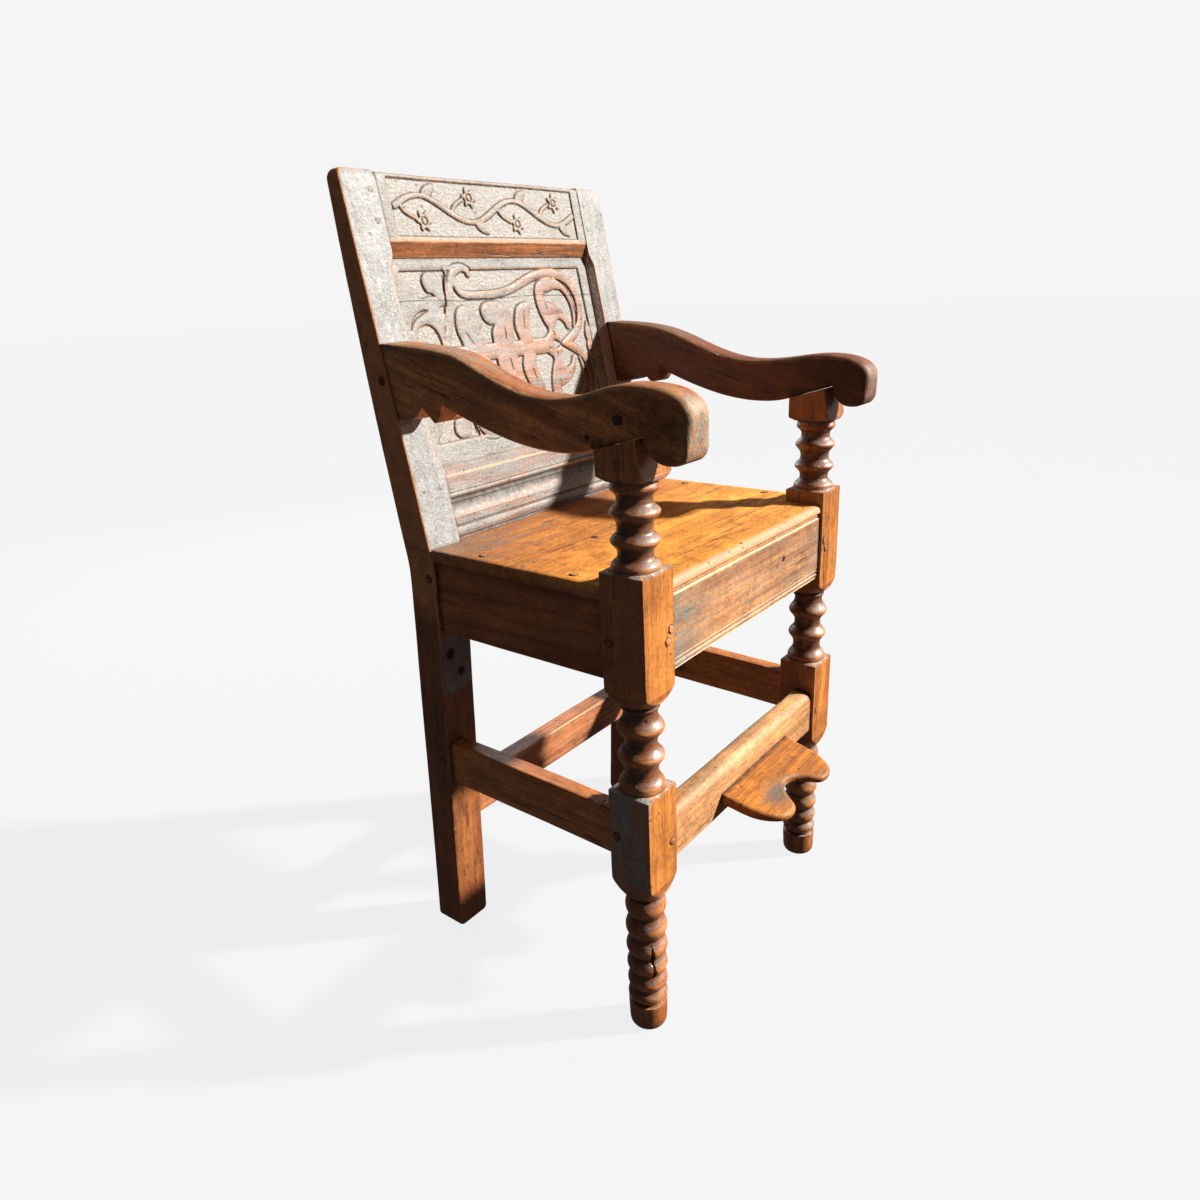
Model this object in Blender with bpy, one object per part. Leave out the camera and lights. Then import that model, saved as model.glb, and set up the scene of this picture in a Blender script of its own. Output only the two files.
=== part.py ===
"""Joined oak high chair for a child: turned front posts, raked panel back, shaped arms and a footrest.

Every member is a separate solid that meets its neighbours in mortise-and-tenon joints held by wooden pegs.
Lengths are in metres, +Z is up and the chair faces -Y. Left and right are the sitter's: left is +X.
"""
import math

import bmesh
import bpy

# Front posts, from the floor up
CHAIR_WIDTH = 0.464            # across the outsides of the two front posts
FRONT_POST_SIDE = 0.054        # side of the square blocks
FOOT_HEIGHT = 0.2105           # ringed foot below the lower block
LOWER_BLOCK_HEIGHT = 0.1141    # square block that takes the stretchers
MIDDLE_TURNING_HEIGHT = 0.1180
SEAT_BLOCK_HEIGHT = 0.1297     # square block that takes the seat rails
UPPER_TURNING_HEIGHT = 0.0911
ARM_BLOCK_HEIGHT = 0.0426      # square block under the arm, at its front
ARM_BLOCK_LEAN = 0.006         # how far the front of the arm block leans back
ARM_SEAT_FALL = 0.015          # how much lower the back of the arm block is
RING_RADIUS = 0.0255           # the round beads of the turned stretches
COVE_RADIUS = 0.0180           # the hollows between them
FOOT_RADIUS = 0.0228
FOOT_RING_RADIUS = 0.0241
FOOT_GROOVE_RADIUS = 0.0208
FOOT_PLAIN_HEIGHT = 0.036      # plain end of the foot below its rings
FOOT_RING_COUNT = 6
FOOT_EDGE = 0.004              # worn bottom edge of the foot
BLOCK_STEP = 0.0015            # slope of the flat shoulder on a block
NECK_HEIGHT = 0.026            # hollow neck and shoulder under a block
ARM_TENON_SIDE = 0.020         # square tenon on top of a front post
ARM_TENON_HEIGHT = 0.028

# Back posts and the raked back
BACK_INSET = 0.004             # outer faces of the back posts inside those of the front posts
FRAME_DEPTH = 0.302            # front of the front posts to front of the back posts at the knee
BACK_POST_WIDTH = 0.050
BACK_POST_DEPTH = 0.045        # front to back, from the floor to the knee
BACK_POST_TOP_DEPTH = 0.021
BACK_POST_TAPER = 1.7          # power of the taper above the knee: most of it is near the top
BACK_ABOVE_ARMS = 0.179        # top of the back above the top of the arms
BACK_RAKE_RUN = 0.0857         # how far the top lies behind the knee
BACK_LEG_SPLAY = 0.0274        # how far the foot lies behind the knee
KNEE_DROP = 0.013              # knee below the underside of the seat
POST_TOP_ROUND = 0.010         # rounding of the outer top corner
CREST_FACE_HEIGHT = 0.0724     # carved face of the crest rail
CREST_BEVEL_HEIGHT = 0.0173    # sloping edge under the face
CREST_THICKNESS = 0.019
LOWER_RAIL_FACE_HEIGHT = 0.077
LOWER_RAIL_BEVEL_HEIGHT = 0.0112
LOWER_RAIL_THICKNESS = 0.024
LOWER_RAIL_FLAT_HEIGHT = 0.020 # flat band at the top of its face
LOWER_RAIL_BEAD_HEIGHT = 0.015 # round band at the bottom of its face
LOWER_RAIL_CHANNEL = 0.0035    # depth of the run moulding between them
PANEL_THICKNESS = 0.006
PANEL_SETBACK = 0.0095         # panel face behind the faces of the posts
GROOVE_DEPTH = 0.007           # groove that holds the edge of the panel
PANEL_LIP = 0.0015             # flat left between the sloping edge of a rail and the panel

# Seat and seat rails
SEAT_THICKNESS = 0.015
SEAT_BELOW_BLOCK = 0.0173      # seat top below the top of the seat block
SEAT_SIDE_INSET = 0.003        # seat edge inside the outer faces of the front posts
SEAT_FRONT_INSET = 0.003       # seat edge behind the faces of the front posts
SEAT_EDGE_ROUND = 0.006        # thumb moulding on the front edge
SEAT_UNDER_BACK = 0.024        # how far the seat runs in under the lower back rail
SIDE_RAIL_HEIGHT = 0.0885
CROSS_RAIL_HEIGHT = 0.0845     # front and back seat rails
SEAT_RAIL_THICKNESS = 0.024
RAIL_FACE_INSET = 0.004        # rail face behind the faces of the posts
RAIL_BEAD_HEIGHT = 0.008       # bead along the top and bottom of the seat rails
RAIL_QUIRK = 0.002             # depth of the groove beside a bead

# Stretchers and footrest
SIDE_STRETCHER_HEIGHT = 0.058
SIDE_STRETCHER_THICKNESS = 0.022
SIDE_STRETCHER_BELOW_BLOCK = 0.028
FRONT_STRETCHER_HEIGHT = 0.061
FRONT_STRETCHER_THICKNESS = 0.028
FRONT_STRETCHER_BELOW_BLOCK = 0.040
FRONT_STRETCHER_ROUND = 0.008  # worn front top edge
BACK_STRETCHER_HEIGHT = 0.051
BACK_STRETCHER_THICKNESS = 0.028
BACK_STRETCHER_TOP = 0.214     # above the floor
FOOTREST_WIDTH = 0.174
FOOTREST_REACH = 0.075         # beyond the faces of the front posts
FOOTREST_NOTCH = 0.034         # depth of the notch between the two lobes
FOOTREST_THICKNESS = 0.014
FOOTREST_DROOP = math.radians(11.0)
FOOTREST_HOUSING = 0.009       # how far the board is let into the stretcher
FOOTREST_BELOW_TOP = 0.033     # top of the board below the top of the stretcher
FOOTREST_OFFSET = 0.012        # the board sits a little to the sitter's left

# Arms
ARM_WIDTH = 0.040
ARM_NOSE_REACH = 0.050         # nose in front of the faces of the front posts
ARM_TOP_RISE = 0.080           # top of the arm at the back post, above its seat on the front post
ARM_NOSE_RISE = 0.0463         # top of the nose above the same level
ARM_NOSE_DROP = 0.0248         # bottom of the nose below it
LEFT_NOSE_WEAR = 0.008         # how much lower the nose of the sitter's left arm is worn
ARM_HOLLOW_RISE = 0.0303       # lowest point of the top, above it
ARM_BRACKET_RISE = 0.018       # peak of the cusp under the back of the arm, above it
ARM_BRACKET_DROP = 0.003       # foot of that bracket below it
ARM_TENON_LENGTH = 0.022       # tenon at the back of the arm
ARM_TENON_THICKNESS = 0.012

# Joinery
TENON_THICKNESS = 0.009
SIDE_TENON_LENGTH = 0.030
BACK_TENON_LENGTH = 0.030      # crest rail and lower back rail
TENON_SHOULDER = 0.008         # tenon narrower than its rail at top and bottom
MORTISE_WALL = 0.002           # wood left between two mortises in one post
PEG_DIAMETER = 0.008
PEG_LENGTH = 0.030
PEG_PROUD = 0.0008             # pegs stand a little out of the faces
PEG_SETBACK = 0.010            # centre of a peg from the shoulder of its tenon
SEAT_PEG_LENGTH = 0.036
SEAT_PEG_SHARES = (0.19, 0.71) # places of the seat pegs along the side rails
FIT = 0.0003                   # gap between pieces that touch

PEG_SIDES = 12
TURNING_SIDES = 18
CURVE_STEPS = 6                # points on each curve of an outline
OVERLAP = 0.004                # how far shapes that are joined run into each other
RUN_OUT = 0.016                # how far a peg hole is cut out past the face
RIGHT, LEFT = -1, 1

# Levels and places that follow from the sizes above, with y counted back from the front posts' faces
LOWER_BLOCK_TOP = FOOT_HEIGHT + LOWER_BLOCK_HEIGHT
SEAT_BLOCK_BOTTOM = LOWER_BLOCK_TOP + MIDDLE_TURNING_HEIGHT
SEAT_BLOCK_TOP = SEAT_BLOCK_BOTTOM + SEAT_BLOCK_HEIGHT
ARM_BLOCK_BOTTOM = SEAT_BLOCK_TOP + UPPER_TURNING_HEIGHT
ARM_SEAT = ARM_BLOCK_BOTTOM + ARM_BLOCK_HEIGHT
SEAT_TOP = SEAT_BLOCK_TOP - SEAT_BELOW_BLOCK
SEAT_BOTTOM = SEAT_TOP - SEAT_THICKNESS
RAIL_TOP = SEAT_BOTTOM - FIT
RAIL_BOTTOM = RAIL_TOP - CROSS_RAIL_HEIGHT
KNEE = SEAT_BOTTOM - KNEE_DROP
CHAIR_HEIGHT = ARM_SEAT + ARM_TOP_RISE + BACK_ABOVE_ARMS
RAKE = math.atan2(BACK_RAKE_RUN, CHAIR_HEIGHT - KNEE)
FRONT_OUT = CHAIR_WIDTH / 2
FRONT_IN = FRONT_OUT - FRONT_POST_SIDE
FRONT_AXIS = FRONT_OUT - FRONT_POST_SIDE / 2
BACK_OUT = FRONT_OUT - BACK_INSET
BACK_IN = BACK_OUT - BACK_POST_WIDTH
SIDE_OUT = min(FRONT_OUT, BACK_OUT) - RAIL_FACE_INSET
SIDE_TENON_MID = SIDE_OUT - SEAT_RAIL_THICKNESS / 2
SIDE_TENON_IN = SIDE_TENON_MID - TENON_THICKNESS / 2
FRONT_TENON_LENGTH = SIDE_TENON_IN - FRONT_IN - MORTISE_WALL
REAR_TENON_LENGTH = SIDE_TENON_IN - BACK_IN - MORTISE_WALL
ARM_OUT = min(FRONT_OUT, BACK_OUT)
ARM_MID = ARM_OUT - ARM_WIDTH / 2
SIDE_STRETCHER_TOP = LOWER_BLOCK_TOP - SIDE_STRETCHER_BELOW_BLOCK
FRONT_STRETCHER_TOP = LOWER_BLOCK_TOP - FRONT_STRETCHER_BELOW_BLOCK
BACK_TOP = (CHAIR_HEIGHT - KNEE) / math.cos(RAKE)
CREST_BOTTOM = BACK_TOP - CREST_FACE_HEIGHT - CREST_BEVEL_HEIGHT
LOWER_RAIL_BOTTOM = (SEAT_TOP + FIT - KNEE) / math.cos(RAKE)
LOWER_RAIL_TOP = LOWER_RAIL_BOTTOM + LOWER_RAIL_FACE_HEIGHT + LOWER_RAIL_BEVEL_HEIGHT
RAIL_BEVEL_DEPTH = PANEL_SETBACK - FIT - PANEL_LIP
CREST_PEG_LENGTH = 0.8 * BACK_POST_TOP_DEPTH
FOOTREST_TOP = FRONT_STRETCHER_TOP - FOOTREST_BELOW_TOP
CHAIR_REACH = max(ARM_NOSE_REACH, FOOTREST_REACH)
CHAIR_BACK = FRAME_DEPTH + max(BACK_RAKE_RUN + BACK_POST_TOP_DEPTH, BACK_LEG_SPLAY + BACK_POST_DEPTH)


def post_front(z):
    """Place of the back posts' front face at height z, counted back from the front posts' faces."""
    if z < KNEE:
        return FRAME_DEPTH + BACK_LEG_SPLAY * (KNEE - z) / KNEE
    return FRAME_DEPTH + BACK_RAKE_RUN * (z - KNEE) / (CHAIR_HEIGHT - KNEE)


def arm_seat(y):
    """Height of the sloping seat of the arm on its front post."""
    return ARM_SEAT - ARM_SEAT_FALL * y / FRONT_POST_SIDE


# Scene and material helpers

def clear_scene():
    for item in list(bpy.data.objects):
        bpy.data.objects.remove(item, do_unlink=True)


def oak(name, colour, roughness):
    material = bpy.data.materials.new(name)
    material.use_nodes = True
    shader = material.node_tree.nodes["Principled BSDF"]
    shader.inputs["Base Color"].default_value = (*colour, 1.0)
    shader.inputs["Roughness"].default_value = roughness
    shader.inputs["Metallic"].default_value = 0.0
    return material


def frame(name, parent, location, turn=0.0):
    """An empty that carries pieces; turn is about the X axis."""
    empty = bpy.data.objects.new(name, None)
    empty.parent = parent
    empty.location = location
    empty.rotation_euler = (turn, 0.0, 0.0)
    bpy.context.collection.objects.link(empty)
    return empty


def piece(name, shape, material, parent, smooth=False):
    """Turn a bmesh into a named object with a finish."""
    bmesh.ops.recalc_face_normals(shape, faces=shape.faces)
    mesh = bpy.data.meshes.new(name)
    shape.to_mesh(mesh)
    shape.free()
    if smooth:
        mesh.shade_smooth()
        mesh.set_sharp_from_angle(angle=math.radians(40))
    item = bpy.data.objects.new(name, mesh)
    item.parent = parent
    item.data.materials.append(material)
    bpy.context.collection.objects.link(item)
    return item


def combine(target, shape, operation, label, parent):
    """Join a shape to a piece or cut it out, with a live Boolean."""
    tool = piece(f"{target.name}_{label}", shape, target.data.materials[0], parent)
    tool.hide_render = True
    tool.display_type = 'WIRE'
    boolean = target.modifiers.new(label, 'BOOLEAN')
    boolean.object = tool
    boolean.operation = operation
    boolean.solver = 'EXACT'


# Shape helpers

def add_prism(shape, outline, axis, low, high):
    """Add an outline in the plane across an axis, carried along that axis from low to high."""
    def place(point, along):
        coordinates = list(point)
        coordinates.insert("XYZ".index(axis), along)
        return coordinates

    corners = [shape.verts.new(place(point, low)) for point in outline]
    end = shape.faces.new(corners)
    swept = bmesh.ops.extrude_face_region(shape, geom=[end])["geom"]
    travel = place((0.0, 0.0), high - low)
    bmesh.ops.translate(shape, vec=travel, verts=[v for v in swept if isinstance(v, bmesh.types.BMVert)])


def add_box(shape, low, high):
    corners = [(low[0], low[1]), (high[0], low[1]), (high[0], high[1]), (low[0], high[1])]
    add_prism(shape, corners, "Z", low[2], high[2])


def add_boxes(boxes):
    shape = bmesh.new()
    for low, high in boxes:
        add_box(shape, low, high)
    return shape


def prism(outline, axis, low, high):
    shape = bmesh.new()
    add_prism(shape, outline, axis, low, high)
    return shape


def grown(box, by=FIT):
    """A box with a gap added all round, for the mortise of a tenon."""
    low, high = box
    return tuple(c - by for c in low), tuple(c + by for c in high)


def mirrored(box, side):
    """A box on the sitter's left, carried to the given side."""
    (x0, y0, z0), (x1, y1, z1) = box
    low, high = sorted((x0 * side, x1 * side))
    return (low, y0, z0), (high, y1, z1)


def curve(start, start_pull, end_pull, end, steps=CURVE_STEPS):
    """Points of a cubic curve after its start, up to and with its end."""
    points = []
    for step in range(1, steps + 1):
        t = step / steps
        weights = ((1 - t) ** 3, 3 * t * (1 - t) ** 2, 3 * t * t * (1 - t), t ** 3)
        controls = (start, start_pull, end_pull, end)
        points.append(tuple(sum(w * c[k] for w, c in zip(weights, controls)) for k in (0, 1)))
    return points


# Turned front posts

def swell(z0, r0, z1, r1, steps):
    """Profile points from one radius to another along half a wave, without the first."""
    points = []
    for step in range(1, steps + 1):
        t = step / steps
        points.append((z0 + (z1 - z0) * t, r0 + (r1 - r0) * (1 - math.cos(math.pi * t)) / 2))
    return points


def turned_stretch(bottom, top):
    """Turning between two blocks: a flare on the lower block, two ringed beads and a neck."""
    height = top - bottom
    stops = [(0.05, RING_RADIUS), (0.19, COVE_RADIUS), (0.335, RING_RADIUS), (0.485, COVE_RADIUS),
             (0.635, RING_RADIUS), (0.79, COVE_RADIUS)]
    points = [(bottom + stops[0][0] * height, stops[0][1])]
    for (f0, r0), (f1, r1) in zip(stops, stops[1:]):
        points += swell(bottom + f0 * height, r0, bottom + f1 * height, r1, 4)
    return points


def foot_profile():
    """Profile of the foot: a plain worn end and even rings."""
    points = [(0.0, FOOT_RADIUS - FOOT_EDGE / 2), (FOOT_EDGE, FOOT_RADIUS), (FOOT_PLAIN_HEIGHT, FOOT_RADIUS)]
    pitch = (FOOT_HEIGHT - NECK_HEIGHT - FOOT_PLAIN_HEIGHT) / FOOT_RING_COUNT
    rise = FOOT_RING_RADIUS - FOOT_GROOVE_RADIUS
    for ring in range(FOOT_RING_COUNT):
        base = FOOT_PLAIN_HEIGHT + ring * pitch
        points += [(base + pitch * t, FOOT_GROOVE_RADIUS + rise * math.sin(math.pi * t))
                   for t in (0.08, 0.3, 0.5, 0.7, 0.92)]
    return points


def post_profile():
    """Heights and radii of the whole turned post; the blocks are wider than their square."""
    block = FRONT_POST_SIDE * 0.76
    points = foot_profile()
    neck = FOOT_HEIGHT - NECK_HEIGHT
    points += swell(neck + NECK_HEIGHT / 4, FOOT_GROOVE_RADIUS, FOOT_HEIGHT, block, 4)
    points.append((LOWER_BLOCK_TOP - BLOCK_STEP, block))
    points += turned_stretch(LOWER_BLOCK_TOP, SEAT_BLOCK_BOTTOM)
    points.append((SEAT_BLOCK_BOTTOM, block))
    points.append((SEAT_BLOCK_TOP - BLOCK_STEP, block))
    points += turned_stretch(SEAT_BLOCK_TOP, ARM_BLOCK_BOTTOM)
    bead = ARM_BLOCK_BOTTOM - 0.12 * UPPER_TURNING_HEIGHT
    points += swell(points[-1][0], points[-1][1], bead, RING_RADIUS, 4)
    points.append((ARM_BLOCK_BOTTOM - BLOCK_STEP, RING_RADIUS))
    points.append((ARM_BLOCK_BOTTOM, block))
    points.append((ARM_SEAT + ARM_SEAT_FALL, block))
    return points


def turned(profile, x, y):
    """Spin a profile of heights and radii about the upright line at x, y."""
    shape = bmesh.new()
    axis_points = [(profile[0][0], 0.0)] + profile + [(profile[-1][0], 0.0)]
    chain = [shape.verts.new((x + radius, y, z)) for z, radius in axis_points]
    edges = [shape.edges.new(pair) for pair in zip(chain, chain[1:])]
    bmesh.ops.spin(shape, geom=chain + edges, cent=(x, y, 0.0), axis=(0.0, 0.0, 1.0), dvec=(0.0, 0.0, 0.0),
                   angle=2 * math.pi, steps=TURNING_SIDES, use_merge=True)
    bmesh.ops.remove_doubles(shape, verts=shape.verts, dist=0.00001)
    return shape


def square_stock(side):
    """The square timber that a front post is turned from, with its top sloped to carry the arm."""
    outer, inner = sorted((FRONT_OUT * side, FRONT_IN * side))
    back = FRONT_POST_SIDE
    outline = [(0.0, -OVERLAP), (0.0, ARM_BLOCK_BOTTOM), (ARM_BLOCK_LEAN, arm_seat(ARM_BLOCK_LEAN) - FIT),
               (back, arm_seat(back) - FIT), (back, -OVERLAP)]
    return prism(outline, "X", outer, inner)


def arm_tenon_box(side):
    """Tenon on top of a front post, on the middle of the arm."""
    half = ARM_TENON_SIDE / 2
    mid = FRONT_POST_SIDE / 2
    low = (ARM_MID - half, mid - half, ARM_SEAT - ARM_SEAT_FALL - OVERLAP)
    high = (ARM_MID + half, mid + half, ARM_SEAT + ARM_TENON_HEIGHT)
    return mirrored((low, high), side)


def front_post(name, side, finish, chair):
    shape = turned(post_profile(), FRONT_AXIS * side, FRONT_POST_SIDE / 2)
    post = piece(name, shape, finish, chair, smooth=True)
    combine(post, square_stock(side), 'INTERSECT', "stock", chair)
    combine(post, add_boxes([arm_tenon_box(side)]), 'UNION', "arm_tenon", chair)
    mortises = [side_tenon_box(end="front", rail=rail) for rail in ("seat", "stretcher")]
    mortises += [cross_tenon_box("front_seat_rail"), cross_tenon_box("front_stretcher")]
    boxes = [grown(mirrored(box, side)) for box in mortises]
    combine(post, add_boxes(boxes), 'DIFFERENCE', "mortises", chair)
    return post


# Back posts

def back_post(name, side, finish, chair, back):
    """Bent post: a splayed leg below the knee and a raked, thinning stile above it."""
    top = FRAME_DEPTH + BACK_RAKE_RUN
    foot = FRAME_DEPTH + BACK_LEG_SPLAY
    front_line = [(foot, 0.0), (FRAME_DEPTH, KNEE), (top, CHAIR_HEIGHT)]
    thinner = BACK_POST_DEPTH - BACK_POST_TOP_DEPTH
    back_line = [(FRAME_DEPTH + BACK_RAKE_RUN * share + BACK_POST_DEPTH - thinner * share ** BACK_POST_TAPER,
                  KNEE + (CHAIR_HEIGHT - KNEE) * share) for share in (1.0, 0.83, 0.63, 0.4, 0.0)]
    back_line.append((foot + BACK_POST_DEPTH, 0.0))
    outer, inner = BACK_OUT * side, BACK_IN * side
    shape = prism(front_line + back_line, "X", outer, inner)
    corner = [e for e in shape.edges
              if all(abs(v.co.x - outer) < FIT and abs(v.co.z - CHAIR_HEIGHT) < FIT for v in e.verts)]
    bmesh.ops.bevel(shape, geom=corner, offset=POST_TOP_ROUND, segments=3, profile=0.5, affect='EDGES')
    post = piece(name, shape, finish, chair)
    mortises = [side_tenon_box(end="back", rail=rail) for rail in ("seat", "stretcher")]
    mortises += [cross_tenon_box("back_seat_rail"), cross_tenon_box("back_stretcher"), arm_back_tenon_box()]
    boxes = [grown(mirrored(box, side)) for box in mortises]
    combine(post, add_boxes(boxes), 'DIFFERENCE', "mortises", chair)
    raked = [mirrored(grown(box), side) for box in (crest_tenon_box(), lower_rail_tenon_box())]
    combine(post, add_boxes(raked), 'DIFFERENCE', "back_mortises", back)
    low, high = grown(panel_box())
    groove = (BACK_IN - OVERLAP, low[1], low[2]), (BACK_IN + GROOVE_DEPTH + FIT, high[1], high[2])
    combine(post, add_boxes([mirrored(groove, side)]), 'DIFFERENCE', "panel_groove", back)
    return post


# Rails and stretchers

def side_rail_span(rail):
    """Top, bottom and thickness of a side seat rail or a side stretcher."""
    if rail == "seat":
        return RAIL_TOP, RAIL_TOP - SIDE_RAIL_HEIGHT, SEAT_RAIL_THICKNESS
    return SIDE_STRETCHER_TOP, SIDE_STRETCHER_TOP - SIDE_STRETCHER_HEIGHT, SIDE_STRETCHER_THICKNESS


def side_tenon_box(end, rail):
    """Tenon of a member on the sitter's left that runs from a front post to a back post."""
    top, bottom, _ = side_rail_span(rail)
    x0, x1 = SIDE_TENON_IN, SIDE_TENON_IN + TENON_THICKNESS
    z0, z1 = bottom + TENON_SHOULDER, top - TENON_SHOULDER
    if end == "front":
        return (x0, FRONT_POST_SIDE - SIDE_TENON_LENGTH, z0), (x1, FRONT_POST_SIDE + OVERLAP, z1)
    face = post_front((top + bottom) / 2)
    return (x0, face - 2 * OVERLAP, z0), (x1, face + SIDE_TENON_LENGTH, z1)


def side_member(name, side, rail, finish, chair):
    """A side seat rail or stretcher, its back shoulder cut to the slope of the back post."""
    top, bottom, thickness = side_rail_span(rail)
    heights = [bottom] + [KNEE] * (bottom < KNEE < top) + [top]
    outline = [(FRONT_POST_SIDE + FIT, top), (FRONT_POST_SIDE + FIT, bottom)]
    outline += [(post_front(z) - FIT, z) for z in heights]
    inner = SIDE_OUT - thickness
    member = piece(name, prism(outline, "X", inner * side, SIDE_OUT * side), finish, chair)
    for end in ("front", "back"):
        tenon = mirrored(side_tenon_box(end, rail), side)
        combine(member, add_boxes([tenon]), 'UNION', f"{end}_tenon", chair)
    return member


def cross_rail(name):
    """Front face, back face, bottom, top and half-length of a rail that runs from side to side."""
    rails = {
        "front_seat_rail": (RAIL_FACE_INSET, SEAT_RAIL_THICKNESS, RAIL_BOTTOM, RAIL_TOP, FRONT_IN),
        "front_stretcher": (RAIL_FACE_INSET, FRONT_STRETCHER_THICKNESS,
                            FRONT_STRETCHER_TOP - FRONT_STRETCHER_HEIGHT, FRONT_STRETCHER_TOP, FRONT_IN),
        "back_seat_rail": (post_front(RAIL_BOTTOM) + RAIL_FACE_INSET, SEAT_RAIL_THICKNESS,
                           RAIL_BOTTOM, RAIL_TOP, BACK_IN),
        "back_stretcher": (post_front(BACK_STRETCHER_TOP - BACK_STRETCHER_HEIGHT) + RAIL_FACE_INSET,
                           BACK_STRETCHER_THICKNESS, BACK_STRETCHER_TOP - BACK_STRETCHER_HEIGHT,
                           BACK_STRETCHER_TOP, BACK_IN),
    }
    face, thickness, bottom, top, half = rails[name]
    return face, face + thickness, bottom, top, half


def cross_tenon_box(name):
    """Tenon at the sitter's left end of a rail that runs from side to side."""
    front, back, bottom, top, half = cross_rail(name)
    length = FRONT_TENON_LENGTH if name.startswith("front") else REAR_TENON_LENGTH
    mid = front + min(back - front, SEAT_RAIL_THICKNESS) / 2
    low = (half - OVERLAP, mid - TENON_THICKNESS / 2, bottom + TENON_SHOULDER)
    high = (half + length, mid + TENON_THICKNESS / 2, top - TENON_SHOULDER)
    return low, high


def beaded_section(front, back, bottom, top):
    """Section of the front seat rail: a groove sets off a bead along its top and bottom edges."""
    lower, upper = bottom + RAIL_BEAD_HEIGHT, top - RAIL_BEAD_HEIGHT
    half = RAIL_QUIRK / 2
    groove = front + RAIL_QUIRK
    low_groove = [(front, lower), (groove, lower + half), (front, lower + RAIL_QUIRK)]
    high_groove = [(front, upper - RAIL_QUIRK), (groove, upper - half), (front, upper)]
    return [(front, bottom)] + low_groove + high_groove + [(front, top), (back, top), (back, bottom)]


def rounded_section(front, back, bottom, top):
    """Section of the front stretcher, its front top edge worn round by feet."""
    r = FRONT_STRETCHER_ROUND
    worn = curve((front, top - 2 * r), (front, top - r / 2), (front + r / 2, top), (front + 2 * r, top), 4)
    return [(front, bottom), (front, top - 2 * r)] + worn + [(back, top), (back, bottom)]


def plain_section(front, back, bottom, top):
    return [(front, bottom), (front, top), (back, top), (back, bottom)]


def cross_member(name, section, finish, chair):
    front, back, bottom, top, half = cross_rail(name)
    reach = half - FIT
    member = piece(name, prism(section(front, back, bottom, top), "X", -reach, reach), finish, chair)
    tenons = [mirrored(cross_tenon_box(name), side) for side in (RIGHT, LEFT)]
    combine(member, add_boxes(tenons), 'UNION', "tenons", chair)
    return member


# The raked back: here y is depth behind the posts' faces and z runs up the slope from the knee

def panel_box():
    """The panel's full size, edges in the grooves included."""
    reach = GROOVE_DEPTH - FIT
    low = (-BACK_IN - reach, PANEL_SETBACK, LOWER_RAIL_TOP - reach)
    high = (BACK_IN + reach, PANEL_SETBACK + PANEL_THICKNESS, CREST_BOTTOM + reach)
    return low, high


def crest_tenon_box():
    mid = CREST_THICKNESS / 2
    low = (BACK_IN - OVERLAP, mid - TENON_THICKNESS / 2, CREST_BOTTOM + GROOVE_DEPTH + TENON_SHOULDER)
    return low, (BACK_IN + BACK_TENON_LENGTH, mid + TENON_THICKNESS / 2, BACK_TOP - TENON_SHOULDER)


def lower_rail_tenon_box():
    mid = LOWER_RAIL_THICKNESS / 2
    slope = LOWER_RAIL_THICKNESS * math.tan(RAKE)
    low = (BACK_IN - OVERLAP, mid - TENON_THICKNESS / 2, LOWER_RAIL_BOTTOM + slope + TENON_SHOULDER)
    top = LOWER_RAIL_TOP - GROOVE_DEPTH - TENON_SHOULDER
    return low, (BACK_IN + BACK_TENON_LENGTH, mid + TENON_THICKNESS / 2, top)


def back_rail(name, outline, tenon_box, finish, back):
    """A rail of the back with a tenon at each end and a groove for the panel."""
    reach = BACK_IN - FIT
    rail = piece(name, prism(outline, "X", -reach, reach), finish, back)
    tenons = [mirrored(tenon_box, side) for side in (RIGHT, LEFT)]
    combine(rail, add_boxes(tenons), 'UNION', "tenons", back)
    combine(rail, add_boxes([grown(panel_box())]), 'DIFFERENCE', "panel_groove", back)
    return rail


def crest_rail(finish, back):
    face = CREST_BOTTOM + CREST_BEVEL_HEIGHT
    outline = [(0.0, BACK_TOP), (0.0, face), (RAIL_BEVEL_DEPTH, CREST_BOTTOM),
               (CREST_THICKNESS, CREST_BOTTOM), (CREST_THICKNESS, BACK_TOP)]
    return back_rail("crest_rail", outline, crest_tenon_box(), finish, back)


def lower_back_rail(finish, back):
    """Rail above the seat, its underside level so that the seat runs in beneath it."""
    face = LOWER_RAIL_TOP - LOWER_RAIL_BEVEL_HEIGHT
    slope = LOWER_RAIL_THICKNESS * math.tan(RAKE)
    bead = LOWER_RAIL_BOTTOM + LOWER_RAIL_BEAD_HEIGHT
    flat = face - LOWER_RAIL_FLAT_HEIGHT
    run = LOWER_RAIL_CHANNEL
    channel = [(run / 2, bead + run), (run, flat - 2 * run), (run, flat - run)]
    moulded = [(0.0, LOWER_RAIL_BOTTOM), (0.0, bead)] + channel + [(0.0, flat), (0.0, face)]
    outline = moulded + [(RAIL_BEVEL_DEPTH, LOWER_RAIL_TOP), (LOWER_RAIL_THICKNESS, LOWER_RAIL_TOP),
                         (LOWER_RAIL_THICKNESS, LOWER_RAIL_BOTTOM + slope)]
    return back_rail("lower_back_rail", outline, lower_rail_tenon_box(), finish, back)


# Arms

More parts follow.
